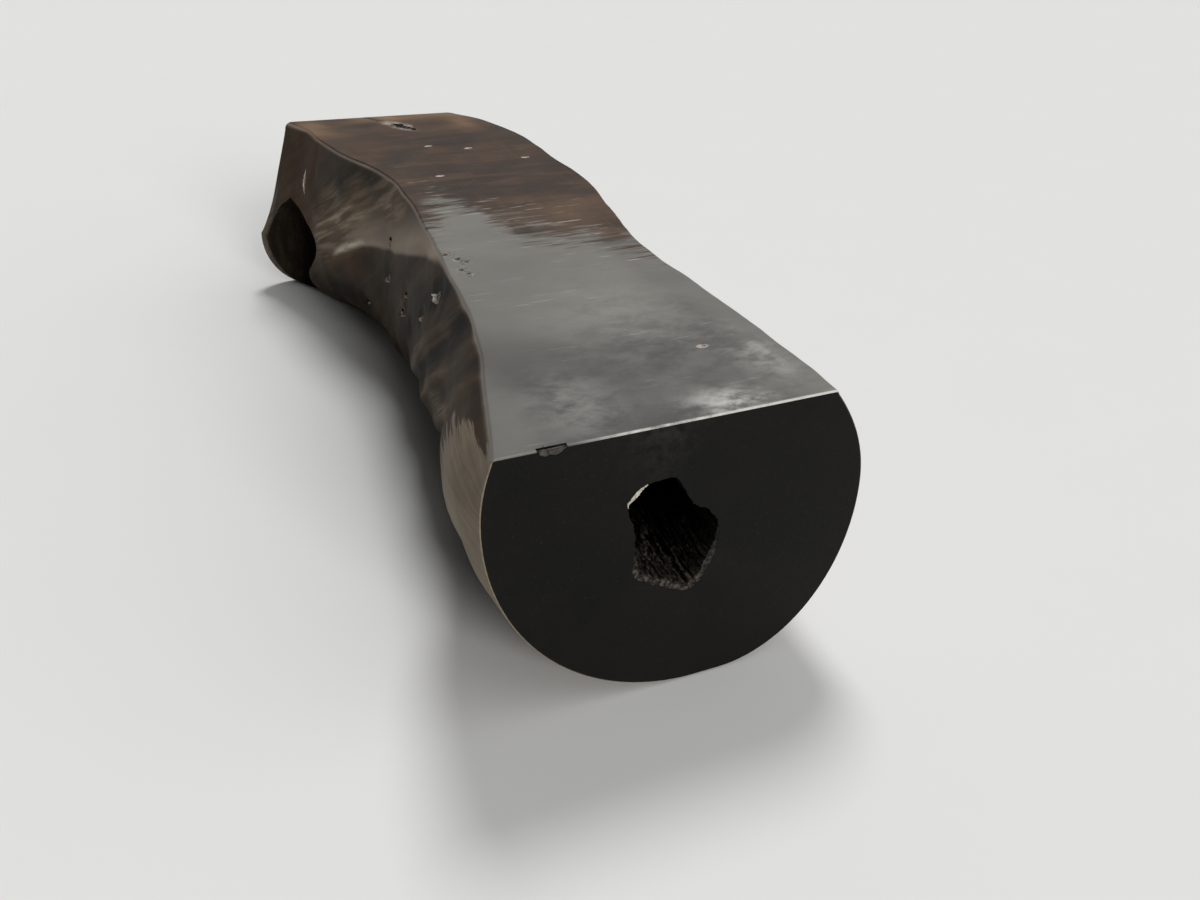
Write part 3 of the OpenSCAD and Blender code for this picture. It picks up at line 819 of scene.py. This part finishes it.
def oiled_wood(name, specular):
    """The live sides and the seat, told apart by the trunk's own fields."""
    m = material(name)
    seat, fibre = m.field("seat"), m.field("fibre", "Vector")
    cloud = m.noise(7.0, 3.0, 0.5, 0.3)
    long_fibre = m.noise((110, 9, 1), 4.0, 0.55, 0.2, source=fibre)
    fine_fibre = m.noise((480, 30, 1), 3.0, 0.6, source=fibre)
    grain = m.noise((46, 3.2, 1), 5.0, 0.6, 0.8)
    streak = m.noise((150, 5, 1), 3.0, 0.55, 0.2)
    top, top_rough = seat_colour(m, grain, streak)
    colour = m.blend(seat, side_colour(m, cloud, long_fibre, fine_fibre), top)
    rough = m.between(seat, m.band(cloud, 0.3, 0.7, 0.50, 0.62), top_rough)
    side_height = m.times(m.plus(long_fibre, m.times(fine_fibre, 0.4)), m.minus(1.0, m.times(seat, 0.92)))
    seat_height = m.times(m.plus(grain, m.times(streak, 0.5)), seat)
    normal = m.bump(seat_height, 0.35, 0.0005, m.bump(side_height, 0.24, 0.0012))
    return m.finish(colour, rough, normal, specular)


# The other materials
def sawn_wood(name, dark, light, ring_share):
    """A sawn end: dark and matt, with growth rings, pores, ragged smudges and saw marks."""
    m = material(name)
    centre = at(MOUTH_X, 0.0, MOUTH_Z)
    pith = m.vector("SUBTRACT", m.place((1, 0.02, 1)), (centre.x, 0.0, centre.z))
    ring_inputs = {"Vector": pith, "Scale": 26.0, "Distortion": 5.0, "Detail": 3.0, "Detail Scale": 0.8}
    rings = m.add("ShaderNodeTexWave", ring_inputs, wave_type="RINGS", rings_direction="Y").outputs["Fac"]
    cloud = m.noise(7.0, 5.0, 0.6)
    pores = m.noise(320.0, 2.0, 0.6)
    ragged = m.noise(60.0, 4.0, 0.7)
    saw = m.noise((3, 1, 160), 2.0, 0.5, 0.0, (0, 0.25, 0))
    colour = m.layers(m.blend(m.band(cloud, 0.3, 0.7), dark, light), [
        (m.times(rings, ring_share), rgb(20, 19, 18)),
        (m.times(m.band(pores, 0.62, 0.75), 0.25), rgb(58, 56, 53)),
        (m.times(m.band(ragged, 0.36, 0.62), m.field("smudge")), rgb(92, 90, 86))])
    height = m.plus(m.times(rings, 0.4), m.plus(saw, m.times(pores, 0.3)))
    return m.finish(colour, m.band(cloud, 0.3, 0.7, 0.56, 0.68), m.bump(height, 0.3, 0.0006), 0.08)


def mouth_light(m):
    """Painted light and shade of the mouth: 1 on the mouth's lower left rim and floor, falling to 0 deeper
    in, higher up and to the right, where the wood is painted near black.
    """
    x, y, z = m.axes()
    middle = at(MOUTH_X, 0.0, MOUTH_Z)
    light = m.times(m.band(y, CORNER.y + 0.05, CORNER.y + 0.17, 1.0, 0.0),
                    m.band(z, middle.z - 0.050, middle.z - 0.005, 1.0, 0.0))
    return m.times(light, m.band(x, middle.x + 0.01, middle.x + 0.09, 1.0, 0.35))


def charred_wood(name, dark, light, fibre_scale, blocks, specular, depth=0.9, lit_mouth=False):
    """Burnt wood: fibres, crumbs and, by the share of blocks, cracks between small cubes."""
    m = material(name)
    block = m.add("ShaderNodeTexVoronoi", {"Vector": m.place((1, 0.45, 1)), "Scale": 70.0, "Randomness": 0.9},
                  feature="DISTANCE_TO_EDGE").outputs["Distance"]
    crumble = m.noise(130.0, 6.0, 0.7)
    fibre = m.noise(fibre_scale, 5.0, 0.65, 0.4)
    colour = m.layers(m.blend(m.band(fibre, 0.38, 0.68), dark, light), [
        (m.times(m.band(crumble, 0.52, 0.70), 0.5), rgb(14, 13, 12)),
        (m.band(block, 0.0, 0.10, blocks, 0.0), rgb(7, 7, 6))])
    # deeper in the hollow the wood is painted near black: painted shade
    if lit_mouth:
        colour = m.blend(m.band(mouth_light(m), 0.0, 1.0, 0.12, 1.0), rgb(9, 8, 7), colour)
    height = m.plus(m.times(m.band(block, 0.0, 0.15), blocks), m.plus(crumble, fibre))
    return m.finish(colour, m.band(crumble, 0.3, 0.7, 0.62, 0.85), m.bump(height, depth, 0.0030), specular)


def raw_wood(name, dark, light):
    m = material(name)
    fibre = m.noise((400, 18, 400), 5.0, 0.65, 0.3)
    colour = m.blend(m.band(fibre, 0.35, 0.68), dark, light)
    return m.finish(colour, m.band(fibre, 0.3, 0.7, 0.62, 0.8), m.bump(fibre, 0.8, 0.0012), 0.3)


def knot_wood(name, dark, light, radius):
    """End grain of a small knot: rings round each knot's own middle come from a field."""
    m = material(name)
    ragged = m.noise(0.9 / radius, 4.0, 0.65)
    wave = m.math("SINE", m.times(m.plus(m.field("reach"), m.times(ragged, 0.5)), 26.0))
    crack = m.band(m.noise(2.4 / radius, 3.0, 0.7), 0.56, 0.62)
    colour = m.blend(m.times(crack, 0.8), m.blend(m.band(wave, -1.0, 1.0), dark, light), rgb(16, 12, 10))
    height = m.minus(m.plus(m.times(wave, 0.3), ragged), crack)
    return m.finish(colour, m.band(ragged, 0.3, 0.7, 0.42, 0.62), m.bump(height, 0.7, 0.0012), 0.4)


def filler(name, dark, light, rough):
    m = material(name)
    grit = m.noise(420.0, 4.0, 0.7)
    swirl = m.noise(55.0, 4.0, 0.6, 1.5)
    colour = m.blend(m.times(m.band(grit, 0.58, 0.72), 0.5), m.blend(m.band(swirl, 0.35, 0.65), dark, light),
                     rgb(18, 16, 14))
    return m.finish(colour, m.band(grit, 0.3, 0.7, rough - 0.08, rough + 0.1),
                    m.bump(m.plus(swirl, m.times(grit, 0.5)), 0.6, 0.0012), 0.4)


def felt():
    m = material("felt")
    hair = m.noise(900.0, 4.0, 0.7, 2.0, (0.6, 0.4, 0.9))
    patch = m.noise(120.0, 3.0, 0.6)
    colour = m.blend(m.times(m.band(patch, 0.4, 0.7), 0.3),
                     m.blend(m.band(hair, 0.36, 0.66), rgb(52, 50, 48), rgb(96, 93, 89)), rgb(70, 66, 60))
    m.shader.inputs["Sheen Weight"].default_value = 0.25
    return m.finish(colour, m.band(hair, 0.3, 0.7, 0.86, 1.0), m.bump(hair, 0.6, 0.0008), 0.2)


def zinc():
    m = material("zinc_screw")
    turned_marks = m.noise((900, 900, 60), 3.0, 0.6)
    bloom = m.noise(260.0, 4.0, 0.6)
    colour = m.blend(m.band(bloom, 0.35, 0.65), rgb(168, 170, 172), rgb(202, 203, 200))
    m.shader.inputs["Metallic"].default_value = 1.0
    return m.finish(colour, m.band(turned_marks, 0.3, 0.7, 0.26, 0.44), m.bump(turned_marks, 0.3, 0.0002))


# Fields on the trunk that tell its materials where they are. A spot is an amount, its place
# along the log, its place across the seat or up the side, and its reach both ways.
# Scuffs with a painted highlight at the near end of the seat
SCUFF_AND_HIGHLIGHT_SPOTS = [(0.90, 0.014, 0.70, 0.020, 0.11), (0.42, 0.075, 0.94, 0.045, 0.07),
          (0.25, 0.05, 0.30, 0.05, 0.12), (0.16, 0.16, 0.70, 0.10, 0.25)]
TAN_SPOTS = [(1.1, 0.995, 0.70, 0.026, 0.42), (0.6, 0.93, 0.98, 0.05, 0.08),
             (0.8, 0.94, 0.20, 0.05, 0.12), (0.25, 0.46, 0.98, 0.06, 0.20)]
WARM_SPOTS = [(0.9, 0.77, 0.42, 0.06, 0.07), (0.6, 0.92, 0.80, 0.07, 0.3), (0.5, 0.22, 0.60, 0.07, 0.2)]
DARK_SPOTS = [(1.0, 0.73, 0.95, 0.075, 0.12), (0.8, 0.80, 0.84, 0.035, 0.10), (0.95, 0.80, 0.22, 0.07, 0.09),
              (1.0, 0.262, 0.91, 0.034, 0.07), (0.8, 0.64, 0.38, 0.07, 0.12),
              (0.5, 0.41, 0.46, 0.035, 0.12), (0.7, 0.10, 0.97, 0.05, 0.03)]
# Smudges on the near end: x, z, reach and amount
SMUDGES = [(0.021, 0.388, 0.014, 0.9), (0.34, 0.20, 0.02, 0.25), (0.40, 0.33, 0.02, 0.3),
           (0.13, 0.23, 0.012, 0.3), (0.23, 0.42, 0.05, 0.12)]


def add_field(mesh, name, values):
    """A number or a vector for each point of a mesh."""
    kind, key = ("FLOAT", "value") if np.ndim(values) == 1 else ("FLOAT_VECTOR", "vector")
    data = mesh.attributes.new(name, kind, "POINT").data
    data.foreach_set(key, np.ascontiguousarray(values, dtype=np.float32).ravel())


def sum_spots(along, up, rows):
    return sum(amount * blob(along, up, *place) for amount, *place in rows)


def seat_fields(along, across, soft):
    """The painted reflection of the near half, brighter in its middle and along its edges, the scuffs with a
    painted highlight at the near end and the tan at the far one.
    """
    # where the painted reflection of the near half ends, by place across
    border = np.interp(across, [0.30, 0.42, 0.50, 0.56, 0.62, 0.80, 1.02, 1.15],
                       [0.50, 0.545, 0.56, 0.50, 0.42, 0.395, 0.355, 0.36])
    # the painted reflection is brighter in the middle of the near half and along both edges
    middle_reflection = eased((along - 0.10) / 0.14) * eased((1.0 - across) / 0.25 + 0.2)
    edge_reflection = np.maximum(0.6 * eased((0.22 - across) / 0.12), 0.7 * eased((across - 0.86) / 0.12))
    return {"painted_reflection": np.clip(0.5 + (border - along) * 4.2 + 0.25 * soft, -0.6, 1.6),
            "brighter_reflection": np.maximum(middle_reflection, edge_reflection),
            "scuff_and_highlight": np.clip(sum_spots(along, across, SCUFF_AND_HIGHLIGHT_SPOTS), 0, 1),
            "tan": np.clip(0.9 * sum_spots(along, across, TAN_SPOTS) * (0.6 + soft), 0, 1)}


def left_fields(along, up, soft):
    """The live left side: painted shade in the hollows of the flutes and dark patches, painted highlights on
    the flutes' tops, the painted grey reflection band with a painted highlight on its crest, the strokes, and
    the pale painted sheen of the near wood.
    """
    off = up - shoulder_line(along)
    angle, _ = ray_at(along, up)
    flutes = flute_height(along, up, 0.012 * soft)
    # painted shade in the hollows of the flutes, added to dark patches
    dark = sum_spots(along, up, DARK_SPOTS) + np.clip(-flutes / 0.0044, 0, 0.95)
    dark = np.clip(dark * (1 + 0.6 * soft), 0, 1)
    # painted highlights: on the flutes' tops, at the far end's edge beside the arch and in a band halfway up
    # the near wood
    wear_and_highlight = (np.clip(flutes / 0.0036, 0, 1) ** 2 * (0.75 - 0.5 * eased((up - 0.62) / 0.16))
            + 0.6 * eased((along - 0.980) / 0.010) * window(up, 0.12, 0.1, 0.66, 0.1)
            + 0.8 * hump(up, 0.49, 0.06) * window(along, 0.13, 0.05, 0.36, 0.06))
    fan = window(along, 0.54, 0.08, 0.89, 0.04) * eased((off + 0.06) / 0.10) * hump(angle, RAY_ANGLE, 0.115)
    # the pale painted sheen of the near wood ends at this share of the length, by height
    limit = np.interp(up, [0.70, 0.842, 0.912, 0.954, 1.0], [0.135, 0.118, 0.092, 0.044, -0.01])
    # the painted grey reflection band, over the crest
    reflection_band = eased((off + 0.01) / 0.03) * hump(np.maximum(off, 0), 0.0, 0.16)
    return {"dark": dark, "wear_and_highlight": np.clip(wear_and_highlight, 0, 1),
            "warm": np.clip(sum_spots(along, up, WARM_SPOTS) + 0.3 * soft, 0, 1),
            "reflection_band": reflection_band * window(along, 0.36, 0.05, 0.80, 0.08),
            # a painted highlight along the crest
            "ridge": hump(off - 0.03 * soft, 0.030, 0.016) * window(along, 0.715, 0.02, 0.815, 0.03),
            "fan": np.clip(fan * (0.80 + 0.7 * soft) * (1 - 0.75 * dark), 0, 1),
            # how strongly the broad dark streaks show; over the flutes they are partly painted shade
            "flute": 0.25 + 0.20 * window(along, 0.13, 0.05, 0.48, 0.10),
            "pale": np.clip(0.5 + (limit - along) * 9.0, -0.5, 1.5)}


def right_fields(soft):
    """The right side, which the photo doesn't show: plain, with soft dark and worn clouds."""
    return {"dark": np.clip(np.clip(1.3 * soft, 0, 0.6) * (1 + 0.6 * soft), 0, 1),
            "wear_and_highlight": np.clip(-1.2 * soft, 0, 0.5), "warm": np.clip(0.25 + 0.3 * soft, 0, 1),
            # a faint, even share of the painted grey reflection
            "reflection_band": 0.12, "ridge": 0.0, "fan": 0.0, "flute": 0.42, "pale": -0.5}


def fibre_field(left, along, up, y, z):
    """Fibres run along the log at the near end, and with the slanting flutes further on."""
    turned_up = eased((along - 0.13) / 0.10)
    across = np.where(left, mix(z, y + FLUTE_SLANT * LOG_L * up - 0.42, turned_up), y * 0.12 + z)
    return across, np.where(left, mix(y, z, turned_up), y)


def paint_trunk(obj):
    mesh = obj.data
    co = np.empty(len(mesh.vertices) * 3)
    mesh.vertices.foreach_get("co", co)
    x, y, z = (co.reshape(-1, 3) - np.array(CORNER)).T
    along, up, across = y / (LOG_L - FAR_SLANT * x / NEAR_W), z / SEAT_H, x / NEAR_W
    left = across < 0.5
    soft = np.array([fbm(a * 8, b * 5, c * 3) for a, b, c in zip(along, across, up)])
    fields = seat_fields(along, across, soft)
    right = right_fields(soft)
    for name, values in left_fields(along, up, soft).items():
        fields[name] = np.where(left, values, right[name])
    fields["seat"] = eased((z - (SEAT_H - 0.0052)) / 0.0045)
    # painted highlight along the seat's edge
    fields["rim"] = hump(z, SEAT_H - 0.0030, 0.0042) * (y > 0.004)
    smudge = sum(amount * blob(x, z, sx, sz, r, r) for sx, sz, r, amount in SMUDGES)
    fields["smudge"] = np.clip(smudge * (y < 0.01), 0, 1)
    angle, reach = ray_at(along, up)
    level = np.zeros(len(x))
    fields["fibre"] = np.stack([*fibre_field(left, along, up, y, z), level], axis=1)
    fields["rays"] = np.stack([angle * 0.35, reach, level], axis=1)
    for name, values in fields.items():
        add_field(mesh, name, values)


# The trunk
def give_materials(skin, wood, seat, sawn, far_sawn):
    """The live wood, the seat and the sawn ends, by where each face lies and looks."""
    for look in (wood, seat, sawn, far_sawn):
        skin.data.materials.append(look)
    for face in skin.data.polygons:
        near = face.normal.y < -0.9 and face.center.y < CORNER.y + ARRIS
        far = face.normal.y > 0.9 and face.center.y > CORNER.y + LOG_L * 0.93
        top = face.normal.z > 0.6 and face.center.z > SEAT_H - EDGE_ROUND
        face.material_index = 2 if near else 3 if far else 1 if top else 0


def cut_sockets(skin, knot_wall, pin_wall):
    for (place, out), r in knot_places():
        profile = [(0.6 * r, -KNOT_DEPTH), (0.96 * r, -KNOT_DEPTH + 0.001), (r, -0.006),
                   (1.06 * r, -0.002), (1.22 * r, 0.002), (1.5 * r, 0.010)]
        cut(skin, turned("socket", profile, place, out, 28, 0.10), knot_wall)
    for place, r in pin_places():
        profile = [(0.98 * r, -PIN_POCKET), (r, -0.0012), (1.12 * r, 0.0006), (1.3 * r, 0.003)]
        cut(skin, turned("socket", profile, place, UPRIGHT, 24, 0.06), pin_wall)


def build_slit():
    """The narrow open split over the arch, where raw wood shows; its pale colour is also a painted highlight
    on the crease.
    """
    steps, outside = 14, 0.008
    rings = []
    for i in range(steps + 1):
        t = i / steps
        spot, out = left_frame(mix(0.918, 0.908, t), mix(0.800, 0.665, t) * SEAT_H)
        across = Vector((0, 1, 0)).cross(out).cross(out).normalized()
        bulge = math.sin(math.pi * (0.06 + 0.88 * t))
        wide, deep = 0.0110 * bulge * (1 + 0.4 * fbm(t * 9, 1.0, 2.0)), 0.0030 * bulge + 0.0010
        rings.append([spot + across * (wide * share) + out * height for share, height in (
            (0.0, -deep), (0.6, -0.4 * deep), (1.0, outside), (-1.0, outside), (-0.6, -0.4 * deep))])
    return loft("slit_cutter", rings)


def build_trunk():
    skin = build_skin(420)
    wood, seat = oiled_wood("dark_oiled_wood", 0.05), oiled_wood("seat_wood", 0.16)
    sawn = sawn_wood("sawn_end", rgb(16, 16, 15), rgb(22, 21, 20), 0.22)
    far_sawn = sawn_wood("far_sawn_end", rgb(44, 38, 31), rgb(70, 61, 50), 0.45)
    # the hollow's and the arch's walls are near black: charred wood, darkened further as painted shade
    hollow = charred_wood("hollow_wall", rgb(16, 14, 12), rgb(31, 28, 24), (120, 10, 120), 0.3, 0.12)
    arch_wall = charred_wood("arch_wall", rgb(24, 20, 15), rgb(40, 34, 26), (60, 60, 8), 0.0, 0.05, 0.25)
    give_materials(skin, wood, seat, sawn, far_sawn)
    cut(skin, build_heart_cutter(), hollow)
    cut(skin, build_arch_cutter(), arch_wall)
    cut_sockets(skin, hollow, seat)
    cut(skin, loft("crack_cutter", [crack_ring(0.0, 64, z) for z in (-CRACK_DEPTH, -0.004, 0.003)]), hollow)
    cut(skin, loft("chip_cutter", [chip_ring(0.0, y, 0.003) for y in (-0.003, CHIP_W)]), sawn)
    for place in glide_places():
        cut(skin, turned("recess", RECESS, place, UPRIGHT, 48), sawn)
    # the split's pale wood is also a painted highlight on the crease
    cut(skin, build_slit(), raw_wood("slit_glint_wood", rgb(116, 106, 92), rgb(202, 196, 184)))
    sharp_by_angle(skin, TRUNK_SHARP)
    paint_trunk(skin)
    stand_in(skin, "trunk", "dark_oiled_wood")


# What lines the heart hollow
def lining(name, first, last, length, thickness, rows, columns, shape):
    """A solid on the hollow's wall, from one place round the mouth to another."""
    rings = []
    for k in range(rows + 1):
        depth = mix(0.0004, length, (k / rows) ** 1.15)
        outer, inner = [], []
        for i in range(columns + 1):
            place = mix(first, last, i / columns)
            outer.append(at(*hollow_point(place, depth, hollow_rough(place, depth) - 0.0012)))
            body = thickness * shape(i / columns, k / rows, place, depth)
            inner.append(at(*hollow_point(place, depth, 0.0015 + body)))
        rings.append(outer + inner[::-1])
    obj = loft(name, rings, rungs=True)
    sharp_by_angle(obj, PIECE_SHARP)
    return obj


def crust_shape(u, t, place, depth):
    swell = math.sin(math.pi * u) ** 0.7 * (0.40 + 0.60 * math.sin(math.pi * t))
    ridge = 1 - abs(fbm(place * 1.7, depth * 10, 2.0)) * 1.6
    strands = fbm(place * 7.0, depth * 14, 5.0, 3)
    crumbs = fbm(place * 16, depth * 160, 9.0, 3)
    return max(0.02, swell * (0.62 + 0.30 * ridge + 0.28 * strands + 0.14 * crumbs))


def sliver_shape(u, t, place, depth):
    splinter = fbm(place * 12, depth * 20, 1.0, 3)
    return max(0.05, math.sin(math.pi * u) * (1 - 0.55 * t) * (0.8 + 0.5 * splinter))


def build_crust():
    obj = lining("heart_crust_char", 13.0, 24.0, 0.330, 0.034, 90, 90, crust_shape)
    char = charred_wood("charred_wood", rgb(20, 18, 16), rgb(84, 77, 68), (160, 26, 160), 0.8, 0.25,
                        lit_mouth=True)
    stand_in(obj, "heart_crust", "charred_wood", char)


def build_sliver():
    obj = lining("rim_sliver_wood", 7.6, 9.2, 0.026, 0.007, 20, 24, sliver_shape)
    stand_in(obj, "rim_sliver", "raw_wood", raw_wood("raw_wood", rgb(128, 120, 106), rgb(196, 190, 178)))


# Knots and pins
def paint_reach(obj, centres):
    """How far each point lies from the nearest knot's middle, in that knot's radii."""
    add_field(obj.data, "reach", [min((v.co - c).length / r for c, r in centres) for v in obj.data.vertices])


def knot_shards(base, out, r, h):
    """Splinters standing on the lower rim of a dead knot; their pale colour is a painted glint."""
    down = Vector((0, 0.35, -1))
    down = (down - out * down.dot(out)).normalized()
    across, shards = out.cross(down), []
    for i in range(6):
        turn = mix(-1.1, 1.1, i / 5) + random.uniform(-0.15, 0.15)
        rimward = down * math.cos(turn) + across * math.sin(turn)
        foot = base + out * (0.45 * h) + rimward * 0.66 * r
        lean = (out + rimward * random.uniform(-0.25, 0.05)).normalized()
        tall = 0.55 * h + KNOT_SINK + random.uniform(0.001, 0.005) * r / (KNOT_D / 2)
        wide = r * random.uniform(0.20, 0.30)
        profile = [(wide, 0.0), (wide * 0.95, 0.5 * tall), (wide * 0.7, 0.85 * tall), (wide * 0.15, tall)]
        shards.append(turned("shard", profile, foot, lean, 7, 0.5))
    return shards


def build_knots():
    knots, centres, shards = [], [], []
    h = KNOT_DEPTH - KNOT_SINK
    for (place, out), r in knot_places():
        base = place - out * KNOT_DEPTH
        profile = [(0.5 * r, 0.0), (0.90 * r, 0.002), (0.97 * r, 0.3 * h), (0.97 * r, 0.72 * h),
                   (0.90 * r, 0.82 * h), (0.78 * r, 0.90 * h), (0.60 * r, 0.93 * h),
                   (0.46 * r, 0.985 * h), (0.26 * r, h), (0.08 * r, 0.94 * h)]
        knots.append(turned("knot", profile, base, out, 30, 0.07))
        centres.append((base + out * h, r))
        shards += knot_shards(base, out, r, h)
    wood_faces = sum(len(knot.data.polygons) for knot in knots)
    obj = join_parts("side_knots_wood", knots + shards)
    # the splinters' pale wood stands for glints: painted highlights
    stand_in(obj, "side_knots", "dead_knot_wood",
             knot_wood("dead_knot_wood", rgb(52, 40, 31), rgb(168, 154, 134), 0.010),
             raw_wood("knot_splinters_glint", rgb(150, 142, 128), rgb(228, 223, 212)))
    for face in obj.data.polygons:
        face.material_index = 0 if face.index < wood_faces else 1
    paint_reach(obj, centres)
    sharp_by_angle(obj, PIECE_SHARP)


def build_pins():
    h, pins = PIN_ROOT - FILL_SINK, []
    for place, r in pin_places():
        profile = [(0.9 * r, 0.0), (0.95 * r, 0.001), (0.95 * r, h - 0.0008), (0.84 * r, h - 0.0002),
                   (0.55 * r, h), (0.30 * r, h - 0.0005), (0.10 * r, h - 0.0009)]
        pins.append(turned("pin", profile, place - UPRIGHT * PIN_ROOT, UPRIGHT, 26, 0.05))
    obj = join_parts("pin_knots_wood", pins)
    stand_in(obj, "pin_knots", "pin_knot_wood",
             knot_wood("pin_knot_wood", rgb(112, 102, 90), rgb(232, 227, 217), 0.005),
             knot_wood("pin_knot_dark", rgb(20, 16, 13), rgb(54, 45, 37), 0.005))
    each = len(obj.data.polygons) // len(PINS)
    for face in obj.data.polygons:
        face.material_index = 1 if face.index // each in DARK_PINS else 0
    paint_reach(obj, pin_places())
    sharp_by_angle(obj, PIECE_SHARP)


# The fillers of the crack and the chip, and the glides
def crumbly(name, rings, depth, scale):
    """A loft whose top is divided finely and crumbles by a depth."""
    obj = loft(name, rings)
    with editing(obj.data) as bm:
        bmesh.ops.subdivide_edges(bm, edges=bm.edges[:], cuts=3, use_grid_fill=True)
        top = max(v.co.z for v in bm.verts)
        for v in bm.verts:
            if v.co.z > top - 0.0002:
                v.co.z -= depth * (0.5 + 0.5 * fbm(v.co.x * scale, v.co.y * scale, v.co.z * scale, 3))
    return obj


def build_crack_fill():
    rings = [crack_ring(0.0004, 48, z) for z in (-CRACK_DEPTH + FIT, -FILL_SINK)]
    obj = crumbly("crack_fill_wood", rings, 0.004, 240)
    stand_in(obj, "crack_fill", "dark_filler", filler("dark_filler", rgb(22, 19, 17), rgb(40, 35, 31), 0.62))


def build_chip_fill():
    rings = [chip_ring(FIT, y, -FILL_SINK) for y in (FILL_SINK, CHIP_W - FIT)]
    obj = crumbly("chip_fill_wood", rings, 0.0028, 420)
    stand_in(obj, "chip_fill", "grey_filler", filler("grey_filler", rgb(30, 27, 24), rgb(78, 73, 66), 0.70))


def dress_glides():
    """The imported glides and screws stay, with better materials."""
    soft, metal = felt(), zinc()
    for name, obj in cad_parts.items():
        if "glide" in name:
            for slot in obj.material_slots:
                slot.material = metal if name == "glide_screws" else soft


# The studio
FLOOR_HALF, FLOOR_COLOURS = 30, (rgb(219.8, 219.8, 217.8), rgb(220.3, 220.3, 218.3))
BACKDROP = rgb(225, 225, 223)
# Name, strength, width in degrees, the direction it comes from and whether glossy wood mirrors it
LAMPS = [("key", 1.72, 18.0, (0.254, 0.447, 0.857), True),
         ("fill", 1.90, 20.0, (0.140, -0.930, 0.340), False)]
FRONT_SKY, LEFT_SKY, LEFT_DIM = (1.08, 1.08, 1.08, 1), (0.045, 0.045, 0.045, 1), (-0.20, 0.10, 1.0, 0.0)
# The sky behind the object by its height, from the horizon up
BACK_SKY = [(0.0, (0.05, 0.045, 0.04, 1)), (0.27, (0.07, 0.065, 0.06, 1)), (0.32, (0.80, 0.79, 0.77, 1)),
            (0.37, (0.80, 0.79, 0.77, 1)), (0.45, (0.26, 0.26, 0.26, 1)), (1.0, (0.20, 0.20, 0.20, 1))]
CAMERA_PLACE, CAMERA_TILT, CAMERA_TURN = (-0.5551, -2.0151, 1.0776), 60.1, -22.475


def build_floor():
    corners = [(x * FLOOR_HALF, y * FLOOR_HALF, 0) for x, y in ((-1, -1), (1, -1), (1, 1), (-1, 1))]
    floor = make_object("floor", corners, [(0, 1, 2, 3)])
    m = material("studio_floor")
    speck = m.noise(3.0, 3.0, 0.5)
    floor.data.materials.append(m.finish(m.blend(m.band(speck, 0.3, 0.7), *FLOOR_COLOURS), 0.9, None, 0.0))


def build_lamps():
    for name, strength, angle, direction, mirrored in LAMPS:
        sun = bpy.data.lights.new(name, "SUN")
        sun.energy, sun.angle = strength, math.radians(angle)
        lamp = link_object(name, sun)
        lamp.rotation_euler = Vector(direction).to_track_quat("Z", "Y").to_euler()
        lamp.visible_glossy = mirrored


def build_world():
    world = bpy.data.worlds.new("studio")
    bpy.context.scene.world = world
    w = Nodes(world)
    right, behind, height = w.axes(w.add("ShaderNodeTexCoord").outputs["Generated"])
    ramp = w.add("ShaderNodeValToRGB", {0: height})
    elements = ramp.color_ramp.elements
    while len(elements) > 1:
        elements.remove(elements[-1])
    elements[0].position, elements[0].color = BACK_SKY[0]
    for position, colour in BACK_SKY[1:]:
        elements.new(position).color = colour
    # the studio is brighter in front than behind, and dim on the left
    sky = w.blend(w.band(behind, -0.25, 0.25), FRONT_SKY, ramp.outputs[0])
    sky = w.blend(w.band(right, *LEFT_DIM), sky, LEFT_SKY)
    # the camera sees the pale backdrop everywhere, glossy things see it near the horizon
    path = w.add("ShaderNodeLightPath").outputs
    low = w.band(height, 0.04, 0.12, 1.0, 0.0)
    mirrored = w.times(w.most(path["Is Glossy Ray"], path["Is Transmission Ray"]), low)
    sky = w.blend(w.most(path["Is Camera Ray"], mirrored), sky, BACKDROP)
    background = w.tree.nodes["Background"]
    w.put(background.inputs["Color"], sky)
    background.inputs["Strength"].default_value = 1.0


def build_camera():
    data = bpy.data.cameras.new("camera")
    data.lens, data.sensor_width = 31.5, 36.0
    data.clip_start, data.clip_end = 0.02, 200.0
    camera = link_object("camera", data)
    camera.location = CAMERA_PLACE
    camera.rotation_euler = (math.radians(CAMERA_TILT), 0.0, math.radians(CAMERA_TURN))
    bpy.context.scene.camera = camera


random.seed(7)
build_camera()
build_floor()
build_lamps()
build_world()
build_trunk()
build_crust()
build_sliver()
build_knots()
build_pins()
build_crack_fill()
build_chip_fill()
dress_glides()

bpy.context.scene.view_settings.view_transform = "Standard"
